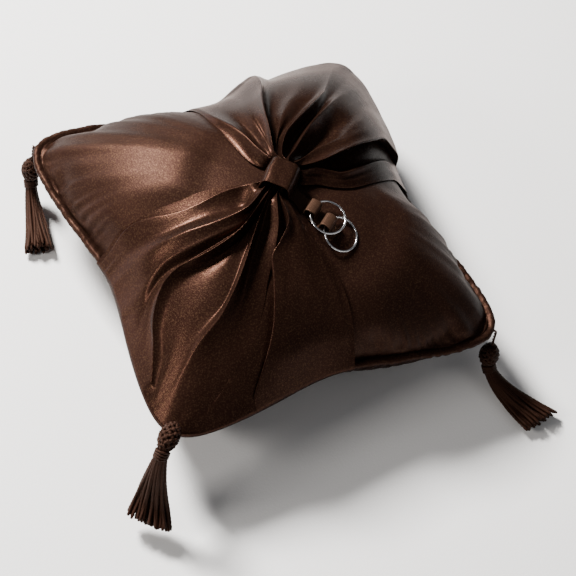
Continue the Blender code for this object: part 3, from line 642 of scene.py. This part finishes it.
# fans: the directions in degrees that the two halves of the sash cover
sashCover = {"fans": ((158, 292), (-22, 112)), "fanEase": 12, "centre": (0.006, -0.010), "radius": 0.062,
             "radiusEase": 0.012}


def caseGrid(steps):
    # directions and shares of a square grid laid on the rounded square
    line = np.linspace(-1, 1, 2 * steps + 1)
    u, v = np.meshgrid(line, line, indexing="ij")
    share = np.maximum(np.abs(u), np.abs(v))
    angle = np.arctan2(v, u)
    return angle, np.sin(np.pi / 2 * share), share >= 1 - 1e-9


def caseMesh(steps):
    angle, share, rim = caseGrid(steps)
    radius = share * outlineRadius(angle)
    x, y = radius * np.cos(angle), radius * np.sin(angle)
    top = np.stack([x, y, np.where(rim, pillow["seam"], topHeight(x, y))], -1).reshape(-1, 3)
    low = np.stack([x, y, underHeight(share, angle)], -1).reshape(-1, 3)
    side = 2 * steps + 1
    inner = ~rim.reshape(-1)
    index = np.arange(side * side)
    lowIndex = index.copy()
    lowIndex[inner] = side * side + np.arange(inner.sum())
    points = np.concatenate([top, low[inner]])
    quads = gridFaces(side, side)
    faces = np.concatenate([quads[:, ::-1], lowIndex[quads]])
    return points, faces, rim.reshape(-1)


def underSash(x, y):
    # 1 where the sash, the knot or the ring ribbon lies on the cover, easing to 0 beside them
    spec = sashCover
    degrees = (np.degrees(np.arctan2(y, x)) + 60) % 360 - 60
    away = np.hypot(x - spec["centre"][0], y - spec["centre"][1])
    covered = np.clip((spec["radius"] - away) / spec["radiusEase"], 0, 1)
    for first, last in spec["fans"]:
        within = np.minimum(degrees - first, last - degrees)
        covered = np.maximum(covered, np.clip(within / spec["fanEase"], 0, 1))
    return covered


def inflate(points, faces, seamPoints, spec):
    cloth = bareMesh("caseCloth", points, faces)
    held = cloth.vertex_groups.new(name="seam")
    held.add([int(i) for i in np.nonzero(seamPoints)[0]], 1.0, "REPLACE")
    modifier = cloth.modifiers.new("cloth", "CLOTH")
    settings = modifier.settings
    for name, value in spec["cloth"].items():
        setattr(settings, name, value)
    settings.shrink_min = -spec["growth"]
    settings.use_pressure = True
    settings.uniform_pressure_force = spec["pressure"]
    settings.vertex_group_mass = "seam"
    settings.pin_stiffness = 1
    settings.effector_weights.gravity = 0
    modifier.collision_settings.use_collision = False
    modifier.collision_settings.use_self_collision = False
    modifier.point_cache.frame_start = 1
    modifier.point_cache.frame_end = spec["frames"]
    scene = bpy.context.scene
    for moment in range(1, spec["frames"] + 1):
        scene.frame_set(moment)
    grown = cloth.evaluated_get(bpy.context.evaluated_depsgraph_get()).to_mesh()
    moved = np.empty(len(grown.vertices) * 3)
    grown.vertices.foreach_get("co", moved)
    scene.frame_set(1)
    bpy.data.objects.remove(cloth, do_unlink=True)
    return moved.reshape(-1, 3)


def meshNormals(points, faces):
    a, b, c, d = (points[faces[:, i]] for i in range(4))
    flat = np.cross(c - a, d - b)
    normals = np.zeros_like(points)
    for i in range(4):
        np.add.at(normals, faces[:, i], flat)
    return normals / np.maximum(np.linalg.norm(normals, axis=1), 1e-12)[:, None]


def wavesAlong(size, seed):
    # a random wave along the seam, made of whole turns
    draw = random.Random(seed)
    turns = pillow["seamLength"] / size
    parts = [(max(3, int(draw.uniform(0.5, 1.7) * turns)), draw.uniform(0, fullTurn), draw.uniform(0.4, 1))
             for _ in range(22)]
    scale = 1 / math.sqrt(sum(strength**2 for _, _, strength in parts) / 2)

    def wave(share):
        return scale * sum(strength * np.sin(fullTurn * n * share + phase) for n, phase, strength in parts)
    return wave


def seamShare(angle):
    # how far round the seam a direction is, from 0 to 1, by length
    table = np.linspace(-math.pi, math.pi, 1441)
    points = outlinePoint(table)
    reach = np.concatenate([[0], np.cumsum(np.linalg.norm(np.diff(points, axis=0), axis=1))])
    return np.interp((angle + math.pi) % fullTurn - math.pi, table, reach / reach[-1])


def gatherSeam(points, faces, spec):
    wave = wavesAlong(spec["puckerWave"], spec["seed"])
    longWave = wavesAlong(spec["puckerWave"] * spec["longer"], spec["seed"] + 1)
    x, y, z = points.T
    angle = np.arctan2(y, x)
    inset = np.maximum(outlineRadius(angle) - np.hypot(x, y), 0)
    corner = np.abs(np.sin(2 * angle)) ** 10
    share = seamShare(angle)
    near = np.exp(-inset / spec["puckerReach"]) * np.clip(inset / spec["puckerFrom"], 0, 1)
    far = np.exp(-inset / (spec["puckerReach"] * spec["further"])) * np.clip(inset / spec["longFrom"], 0, 1)
    move = near * wave(share) * spec["pucker"] * (1 - spec["cornerCalm"] * corner)
    move += far * longWave(share) * (spec["longPucker"] + spec["longCorner"] * corner)
    calm = np.where(z > pillow["seam"], 1 - underSash(x, y), 1.0)
    calm = np.where(z < spec["footHeight"], 0, calm)
    return points + meshNormals(points, faces) * (move * calm)[:, None]


def refine(grid, times):
    # a finer grid of moves between the points of a coarse one, smoothed inside its rim
    count = grid.shape[0]
    coarse, fine = np.arange(count), np.linspace(0, count - 1, (count - 1) * times + 1)
    for _ in range(2):
        grid = np.stack([[np.interp(fine, coarse, line) for line in grid[:, :, i]] for i in range(3)], -1)
        grid = grid.transpose(1, 0, 2)
    for _ in range(times * 2):
        grid[1:-1] = grid[1:-1] * 0.5 + (grid[:-2] + grid[2:]) * 0.25
        grid[:, 1:-1] = grid[:, 1:-1] * 0.5 + (grid[:, :-2] + grid[:, 2:]) * 0.25
    return grid


def makeCushion(spec):
    points, faces, rim = caseMesh(spec["steps"])
    finePoints, fineFaces, fineRim = caseMesh(spec["steps"] * spec["finer"])
    seamPoints = np.zeros(len(points), bool)
    seamPoints[:len(rim)] = rim
    moved = inflate(points, faces, seamPoints, spec) - points
    size = np.linalg.norm(moved, axis=1)
    top = points[:, 2] > pillow["seam"]
    calm = np.where(top, underSash(points[:, 0], points[:, 1]), 0)
    cap = spec["cap"] + (spec["sashCap"] - spec["cap"]) * calm
    moved *= np.minimum(1, cap / np.maximum(size, 1e-9))[:, None]
    side = 2 * spec["steps"] + 1
    topMove = moved[:side * side]
    lowMove = topMove.copy()
    lowMove[~rim] = moved[side * side:]
    fineTop = refine(topMove.reshape(side, side, 3), spec["finer"]).reshape(-1, 3)
    fineLow = refine(lowMove.reshape(side, side, 3), spec["finer"]).reshape(-1, 3)
    finePoints = finePoints + np.concatenate([fineTop, fineLow[~fineRim]])
    print("cushion inflated, largest move", float(size.max()))
    finePoints = gatherSeam(finePoints, fineFaces, spec)
    finePoints[:, 2] = np.maximum(finePoints[:, 2], 0)
    cushion = addMesh("cushion", finePoints, fineFaces, satin, "pillow")
    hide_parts("top_cover", "bottom_cover", "filling")


makeCushion(cushionSpec)
print("cushion made")


# Piping round the seam: a bias strip over a cord, drawn tight between puckers

# tuck: how far the inner side of the tube is drawn in to the seam, over an angle of tuckHalf either way
pipingSpec = {"radius": 0.0020, "beyond": 0.0025, "around": 960, "sides": 14, "wave": 0.0042, "longer": 2.5,
              "ripple": 0.00011, "longRipple": 0.000088, "swayWave": 0.03, "sway": 0.00035, "twists": 150,
              "twist": 0.00005, "tuck": 0.0022, "tuckHalf": 0.6, "seed": 21}


def makePiping(spec):
    share = np.arange(spec["around"]) / spec["around"]
    table = np.linspace(-math.pi, math.pi, 2881)
    angle = np.interp(share, seamShare(np.clip(table, -math.pi, math.pi - 1e-9)), table)
    base, normal = outlinePoint(angle), outlineNormal(angle)
    ripple = wavesAlong(spec["wave"], spec["seed"])(share) * spec["ripple"]
    longRipple = wavesAlong(spec["wave"] * spec["longer"], spec["seed"] + 1)(share) * spec["longRipple"]
    sway = wavesAlong(spec["swayWave"], spec["seed"] + 2)(share) * spec["sway"]
    lines = []
    for k in range(spec["sides"]):
        turn = fullTurn * k / spec["sides"]
        twist = np.sin(fullTurn * share * spec["twists"] + 2 * turn) * spec["twist"]
        radius = spec["radius"] + ripple * math.cos(turn) + longRipple + twist
        tuck = spec["tuck"] * max(0, 1 - abs(turn - math.pi) / spec["tuckHalf"])
        plan = base + normal * (spec["beyond"] + radius * math.cos(turn) - tuck)[:, None]
        lines.append(np.column_stack([plan, pillow["seam"] + sway + radius * math.sin(turn)]))
    faces = gridFaces(spec["sides"], spec["around"], closedColumns=True, closedRows=True, flip=True)
    piping = addMesh("pipingTube", np.array(lines).reshape(-1, 3), faces, satin, "pillow")
    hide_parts("piping_cover", "piping_cord")


makePiping(pipingSpec)
print("piping made")


# Knot: a band of the sash cloth wrapped tightly over the gathers

# profile: half of the section round the gathers, in millimetres across and above the bottom
knotSpec = {"halfLength": 0.0086, "forward": -0.0028, "bottom": 0.0946, "middle": 0.0065, "around": 96,
            "rows": 44, "rollRows": 5, "backRows": 8, "waist": 0.985, "belly": 0.035, "bellyPower": 2.6,
            "creases": 16, "creaseDepth": 0.005, "edgeRoll": 0.05, "wall": 0.11, "flat": (0.018, 0.056),
            "seed": 31,
            "profile": [(0, 0), (6.2, 0.2), (8.9, 1.2), (9.1, 4.6), (8.5, 8.6), (7.5, 11.6), (5.9, 13.0), (3.0, 13.35), (0, 13.4)]}


def makeKnot(spec):
    half = [(a / 1000, b / 1000) for a, b in spec["profile"]]
    loop = half + [(-a, b) for a, b in half[-2:0:-1]]
    closed = smoothLine(loop + [loop[0]], spec["around"] + 1)[:-1]
    middle = np.array([0, spec["middle"]])
    draw = random.Random(spec["seed"])
    creases = [(draw.uniform(0, fullTurn), draw.uniform(2, 7), draw.uniform(-3, 3), draw.uniform(0.3, 1))
               for _ in range(spec["creases"])]
    turn = np.arctan2(closed[:, 1] - middle[1], closed[:, 0])

    def rolled(end, k):
        turnIn = math.pi * k / spec["rollRows"]
        reach = end * spec["halfLength"] * (1 + spec["edgeRoll"] * math.sin(turnIn))
        return reach, 1 - spec["wall"] * (1 - end * math.cos(turnIn)) / 2

    lines = []
    for place in -1 + 2 * np.arange(spec["rows"] + 1) / spec["rows"]:
        crease = sum(size * np.sin(waves * turn + lean * place * 2 + phase)
                     for phase, waves, lean, size in creases)
        belly = spec["belly"] * (1 - abs(place) ** spec["bellyPower"])
        lines.append((place * spec["halfLength"], spec["waist"] + belly + spec["creaseDepth"] * crease))
    lines += [rolled(1, k) for k in range(1, spec["rollRows"] + 1)]
    back = spec["backRows"]
    lines += [(spec["halfLength"] * (1 - 2 * k / back), 1 - spec["wall"]) for k in range(1, back)]
    lines += [rolled(-1, k) for k in range(1, spec["rollRows"])]
    points = []
    for reach, scale in lines:
        scaled = middle + (closed - middle) * np.asarray(scale)[..., None]
        place = np.outer(scaled[:, 0], across) + np.array(along) * (reach + spec["forward"])
        place[:, 2] = spec["bottom"] + scaled[:, 1]
        points.append(place)
    faces = gridFaces(len(lines), spec["around"], closedColumns=True, closedRows=True)
    knot = addMesh("knotBand", np.array(points).reshape(-1, 3), faces, sashSatin, "pillow")
    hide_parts("knot_band")


makeKnot(knotSpec)
print("knot made")


# Ring ribbon: a strap under two raised loops

ribbonSpec = {"strapAngle": -66.0, "strapStart": 0.0030, "strapLength": 0.0390, "strapWidth": 0.0100,
              "strapThickness": 0.0007, "strapShown": 0.6, "strapFlat": (0.010, 0.039), "strapRows": 40,
              "touch": 0.0003, "loopAngle": -52.0, "loopWidth": 0.0092, "loopSpan": 0.0056,
              "loopHeight": 0.0049, "loopFoot": 0.0006, "loopThickness": 0.0006, "loopShown": 0.85,
              "loopBend": 0.0017, "loopCrown": 0.00012, "loopRows": 46, "wander": 0.00012,
              "loops": {"upper": (0.0238, 42), "lower": (0.0346, 43)}}


def direction(degrees):
    return Vector((math.cos(math.radians(degrees)), math.sin(math.radians(degrees)), 0))


def heightAt(place):
    return float(topHeight(np.array(place.x), np.array(place.y)))


def denseLine(points, count):
    reach = np.concatenate([[0], np.cumsum(np.linalg.norm(np.diff(points, axis=0), axis=1))])
    wanted = np.linspace(0, reach[-1], count)
    return np.stack([np.interp(wanted, reach, points[:, i]) for i in range(points.shape[1])], -1)


def roundedStrip(name, rows, width, thickness, seed):
    # a ribbon along rows of (place, side, up), with soft selvedges
    columns = 14
    half, edge = width / 2, thickness / 2
    line = [-half + edge + (width - 2 * edge) * k / columns for k in range(columns + 1)]
    section = [(a, edge) for a in line] + [(half, 0)] + [(-a, -edge) for a in line] + [(-half, 0)]
    phase = random.Random(seed).uniform(0, fullTurn)
    points = []
    for k, (place, side, up) in enumerate(rows):
        wander = ribbonSpec["wander"] * math.sin(k * 0.35 + phase)
        points += [place + side * (a + wander) + up * b for a, b in section]
    count = len(section)
    faces = list(gridFaces(len(rows), count, closedColumns=True))
    faces += [tuple(range(count)), tuple(range(len(rows) * count - 1, (len(rows) - 1) * count - 1, -1))]
    return addMesh(name, points, faces, ribbon, "pillow", 60)


def makeStrap(spec):
    run, side = direction(spec["strapAngle"]), direction(spec["strapAngle"] + 90)
    step = 0.001
    rows = []
    for k in range(spec["strapRows"] + 1):
        place = run * (spec["strapStart"] + spec["strapLength"] * k / spec["strapRows"])
        low, ahead = heightAt(place), heightAt(place + run * step)
        up = Vector((run.x, run.y, (ahead - low) / step)).normalized().cross(side).normalized()
        place.z = low + 2 * spec["touch"] + spec["strapThickness"] / 2
        rows.append((place, side, up if up.z > 0 else -up))
    strap = roundedStrip("ringStrap", rows, spec["strapWidth"], spec["strapThickness"] * spec["strapShown"], 41)
    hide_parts("ring_ribbon_strap")


def loopSection(spec):
    # half of the loop as it stands over its foot, then its mirror
    cloth, bend = spec["loopThickness"], spec["loopBend"]
    half, top = spec["loopSpan"] / 2 + cloth / 2, spec["loopHeight"] + cloth / 2
    line = [(-half - spec["loopFoot"], cloth / 2), (-half, cloth * 0.9), (-half, top - bend)]
    line += [(-half + bend - bend * math.cos(a), top - bend + bend * math.sin(a)) for a in (0.5, 1.05)]
    line += [(-half + bend, top)]
    line += [(0, top + spec["loopCrown"])] + [(-a, b) for a, b in reversed(line)]
    return denseLine(np.array(line), spec["loopRows"])


def makeLoop(label, reach, seed, spec):
    base = direction(spec["strapAngle"]) * reach
    base.z = heightAt(base) + 3 * spec["touch"] + spec["strapThickness"]
    axis, flat = direction(spec["loopAngle"] + 90), direction(spec["loopAngle"])
    step = flat * (spec["loopSpan"] / 2)
    fall = heightAt(base + step) - heightAt(base - step)
    slope = Vector((flat.x, flat.y, fall / spec["loopSpan"])).normalized()
    up = slope.cross(axis)
    section = loopSection(spec)
    rows = []
    for k, (a, b) in enumerate(section):
        before, after = section[max(k - 1, 0)], section[min(k + 1, len(section) - 1)]
        go = slope * (after[0] - before[0]) + up * (after[1] - before[1])
        go.normalize()
        rows.append((base + slope * a + up * b, axis, axis.cross(go) * -1))
    thickness = spec["loopThickness"] * spec["loopShown"]
    loop = roundedStrip("ringLoop" + label.title(), rows, spec["loopWidth"], thickness, seed)
    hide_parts("ribbon_loop_" + label)


def makeRibbon(spec):
    makeStrap(spec)
    for label, (reach, seed) in spec["loops"].items():
        makeLoop(label, reach, seed, spec)


makeRibbon(ribbonSpec)
print("ring ribbon made")


# Rings: each lies where its solid lies, with a finer comfort-fit section

# squareness below 1 makes the section fuller than an ellipse; shown keeps it inside its solid
ringSpec = {"outer": 0.0205, "wide": 0.0011, "high": 0.0011, "around": 160, "sides": 20, "squareness": 0.8,
            "shown": 0.97}


def makeRing(label, spec):
    node = frame["nodes"]["ring_" + label]
    points = np.array([tuple(v.co) for v in node.data.vertices])
    centre = points.mean(0)
    _, _, (sideA, sideB, normal) = np.linalg.svd(points - centre, full_matrices=False)
    middle = (spec["outer"] - spec["wide"]) / 2

    def swollen(value, size):
        return math.copysign(abs(value) ** spec["squareness"], value) * size / 2 * spec["shown"]

    rows = []
    for k in range(spec["around"]):
        turn = fullTurn * k / spec["around"]
        spoke = sideA * math.cos(turn) + sideB * math.sin(turn)
        for m in range(spec["sides"]):
            roll = fullTurn * m / spec["sides"]
            out, up = swollen(math.cos(roll), spec["wide"]), swollen(math.sin(roll), spec["high"])
            rows.append(centre + spoke * (middle + out) + normal * up)
    faces = gridFaces(spec["around"], spec["sides"], closedColumns=True, closedRows=True)
    ring = addMesh("ring" + label.title(), rows, faces, silver, "ring_" + label)
    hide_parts("ring_" + label)


for label in ("upper", "lower"):
    makeRing(label, ringSpec)
print("rings made")


# Tassels: a twisted cord, a woven head, a wrapped neck and a skirt of twisted cords

tasselSpec = {"cordLay": 0.0045, "cordRows": 30, "leadRows": 8, "plyRadius": 0.00048, "plyOffset": 0.00040,
              "headRadius": 0.0056, "headLength": 0.0150, "headStrands": 7, "headTurns": 0.72, "headRows": 54,
              "headThread": 0.00100, "headInset": 0.00095, "weave": 0.00042, "bulge": (16, 162, 0.62),
              "core": 0.80, "coreSides": 20, "neckRadius": 0.0036, "neckLength": 0.0042,
              "neckThread": 0.00072, "neckWraps": 3.6, "neckRows": 110, "overlap": 0.0004, "skirtTop": 0.0029,
              "skirtWidth": 0.0125, "skirtDepth": 0.0046, "skirtLength": 0.0460, "skirtRows": 46,
              "topShare": 0.78, "floorBend": 0.016, "touch": 0.0003, "strands": 58, "outerShare": 0.62,
              "strandRadius": 0.00100, "twists": 10}
# lead: how far the cord starts inside the corner. falls: how steeply it hangs, in degrees, at distances along it
tassels = {
    "left": {"corner": 135, "heading": -98, "cord": 0.0120, "lead": 0.0028, "spread": 0.62, "sway": -0.004,
             "falls": ((0, 86), (0.030, 84), (0.075, 70))},
    "front": {"corner": 225, "heading": -136.5, "cord": 0.0050, "lead": 0.0003, "spread": 1.0, "sway": 0.006,
              "falls": ((0, -48), (0.003, -40), (0.010, 8), (0.017, 26), (0.023, 60), (0.040, 70), (0.070, 66))},
    "right": {"corner": 315, "heading": -78, "cord": 0.0130, "lead": 0.0028, "spread": 0.95, "sway": 0.009,
              "falls": ((0, 84), (0.030, 82), (0.075, 70))},
    "back": {"corner": 45, "heading": 172, "cord": 0.0120, "lead": 0.0028, "spread": 0.8, "sway": -0.004,
             "falls": ((0, 86), (0.030, 84), (0.075, 70))},
}


def hangingLine(label, height):
    spec = tassels[label]
    length = spec["cord"] + tasselSpec["headLength"] + tasselSpec["skirtLength"] + 3 * tasselSpec["touch"]
    steps = 160
    floorDepth = height - tasselSpec["skirtDepth"] - tasselSpec["touch"]
    line = [(0.0, 0.0)]
    for k in range(steps):
        out, down = line[-1]
        steep = math.radians(float(np.interp(length * (k + 0.5) / steps, *zip(*spec["falls"]))))
        if steep > 0:
            steep *= min(1.0, max(0.0, floorDepth - down) / tasselSpec["floorBend"]) ** 0.8
        line.append((out + length / steps * math.cos(steep), down + length / steps * math.sin(steep)))
    return np.array(line), length


def tubePoints(line, radius, sides, twists=0.0, plies=0, depth=0.0, phase=0.0):
    # a tube along a line, its section turning as it goes when it has plies
    line = np.asarray(line)
    ahead = np.gradient(line, axis=0)
    ahead /= np.maximum(np.linalg.norm(ahead, axis=1), 1e-12)[:, None]
    guide = np.array([0.31, 0.22, 0.92])
    first = np.cross(ahead, guide)
    first /= np.linalg.norm(first, axis=1)[:, None]
    second = np.cross(ahead, first)
    turn = (fullTurn * np.arange(sides) / sides)[None]
    size = np.broadcast_to(radius, (len(line),))[:, None] * np.ones((1, sides))
    if plies:
        twist = fullTurn * twists * np.linspace(0, 1, len(line))[:, None] / plies * 2
        size = size * (1 - depth + depth * np.cos(plies * (turn - twist) + phase))
    spokes = first[:, None] * np.cos(turn)[..., None] + second[:, None] * np.sin(turn)[..., None]
    return line[:, None] + size[..., None] * spokes


def tasselPiece(label, part, tubes):
    points, faces, start = [], [], 0
    for tube in tubes:
        rows, sides, _ = tube.shape
        points.append(tube.reshape(-1, 3))
        faces += list(map(tuple, gridFaces(rows, sides, start, closedColumns=True)))
        faces.append(tuple(range(start + sides - 1, start - 1, -1)))
        faces.append(tuple(range(start + (rows - 1) * sides, start + rows * sides)))
        start += rows * sides
    made = addMesh(f"tassel{label.title()}{part}", np.concatenate(points), faces, thread, "tassel_" + label,
                   70)
    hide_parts(f"tassel_{label}_{part.lower()}")


def makeTassel(label, seed):
    spec, tassel = tasselSpec, tassels[label]
    draw = random.Random(seed)
    joint = next(j for j in frame["joints"] if j["name"] == f"tassel_{label}_swing")
    hold = np.array(joint["pos_m"])
    heading = np.array(direction(tassel["heading"]))
    side = np.array([-heading[1], heading[0], 0])
    line, length = hangingLine(label, hold[2])
    reach = np.linspace(0, length, len(line))

    def alongLine(distance):
        return [np.interp(distance, reach, line[:, i]) for i in (0, 1)]

    def spot(distance):
        # places along the hanging line, and the direction of the tassel's thickness there
        out, down = alongLine(distance)
        step = 0.0008
        goOut, goDown = (a - b for a, b in zip(alongLine(distance + step), alongLine(distance - step)))
        size = np.maximum(np.hypot(goOut, goDown), 1e-9)
        place = hold + np.outer(out, heading)
        place[:, 2] -= down
        thick = np.outer(goDown / size, heading)
        thick[:, 2] += goOut / size
        return place, thick

    def beside(place, thick, a, b):
        return place + side * a[:, None] + thick * b[:, None]

    def winding(place, thick, turn, radius):
        return beside(place, thick, np.cos(turn) * radius, np.sin(turn) * radius)

    # the cord's first part runs through the corner of the piping
    cordLine, thick = spot(np.linspace(0, tassel["cord"] + 0.001, spec["cordRows"]))
    inward = np.array(direction(tassel["corner"])) * tassel["lead"]
    cordLine = np.concatenate([hold - np.outer(np.linspace(1, 0.15, spec["leadRows"]), inward), cordLine])
    thick = np.concatenate([np.repeat(thick[:1], spec["leadRows"], axis=0), thick])
    lays = np.linspace(0, (tassel["cord"] + tassel["lead"]) / spec["cordLay"], len(cordLine))
    plies = [winding(cordLine, thick, fullTurn * (k / 2 + lays), spec["plyOffset"]) for k in range(2)]
    tasselPiece(label, "Cord", [tubePoints(ply, spec["plyRadius"], 8) for ply in plies])

    start = tassel["cord"] + spec["touch"]
    headReach = np.linspace(0, 1, spec["headRows"])
    place, thick = spot(start + headReach * spec["headLength"])
    first, last, power = spec["bulge"]
    bulge = np.sin(np.radians(first + (last - first) * headReach)) ** power * spec["headRadius"]
    strands = []
    for way in (1, -1):
        for k in range(spec["headStrands"]):
            turn = fullTurn * (k / spec["headStrands"] + way * spec["headTurns"] * headReach)
            crossings = spec["headStrands"] * fullTurn * spec["headTurns"] * headReach * 2 + fullTurn * k * 0.5
            out = bulge - spec["headInset"] + spec["weave"] * np.cos(crossings) * way
            strands.append(tubePoints(winding(place, thick, turn, out), spec["headThread"], 8, 6, 2, 0.10))
    coreTurn = (fullTurn * np.arange(spec["coreSides"]) / spec["coreSides"])[None, :, None]
    spokes = side * np.cos(coreTurn) + thick[:, None] * np.sin(coreTurn)
    core = place[:, None] + (bulge * spec["core"])[:, None, None] * spokes
    tasselPiece(label, "Head", strands + [core[::3]])

    skirtStart = start + spec["headLength"] - spec["overlap"]
    neckReach = np.linspace(0, 1, spec["neckRows"])
    place, thick = spot(skirtStart + spec["overlap"] + neckReach * spec["neckLength"])
    coil = winding(place, thick, fullTurn * spec["neckWraps"] * neckReach, spec["neckRadius"])
    tasselPiece(label, "Neck", [tubePoints(coil, spec["neckThread"], 8, 20, 2, 0.12)])

    # the skirt's cords leave the neck in an outer and an inner ring, and spread into an oval
    cords = []
    part = np.linspace(0, 1, spec["skirtRows"])
    top = spec["skirtTop"] * spec["topShare"]
    width = top + (spec["skirtWidth"] * tassel["spread"] - spec["skirtTop"]) * part**1.15
    depth = top + (spec["skirtDepth"] - spec["skirtTop"]) * part**0.8
    sway = tassel["sway"] * part**1.6
    taper = np.where(part > 0.985, 0.6, 1.0) * spec["strandRadius"]
    count = round(spec["strands"] * spec["outerShare"])
    for k in range(spec["strands"]):
        outer = k < spec["strands"] * spec["outerShare"]
        share = k / count if outer else (k - count) / (spec["strands"] - count) + 0.03
        turn = fullTurn * share + draw.uniform(-0.12, 0.12)
        ring = draw.uniform(0.86, 1.0) if outer else draw.uniform(0.30, 0.62)
        place, thick = spot(skirtStart + part * spec["skirtLength"] * draw.uniform(0.93, 1.0))
        drift = draw.uniform(-0.0016, 0.0016) * part**2
        drift += 0.0006 * np.sin(part * draw.uniform(3, 7) + draw.uniform(0, 6)) * part
        rise = 0.0005 * np.sin(part * draw.uniform(3, 8) + draw.uniform(0, 6)) * part
        a, b = math.cos(turn) * ring, math.sin(turn) * ring
        strand = beside(place, thick, a * width + drift + sway, b * depth + rise)
        least = spec["strandRadius"] + (0.0002 if outer else 0.0010)
        strand[:, 2] = np.maximum(strand[:, 2], least)
        cords.append(tubePoints(strand, taper, 8, spec["twists"], 2, 0.13, draw.uniform(0, 6)))
    tasselPiece(label, "Skirt", cords)


for seed, label in enumerate(tassels):
    makeTassel(label, 50 + seed)
print("tassels made")
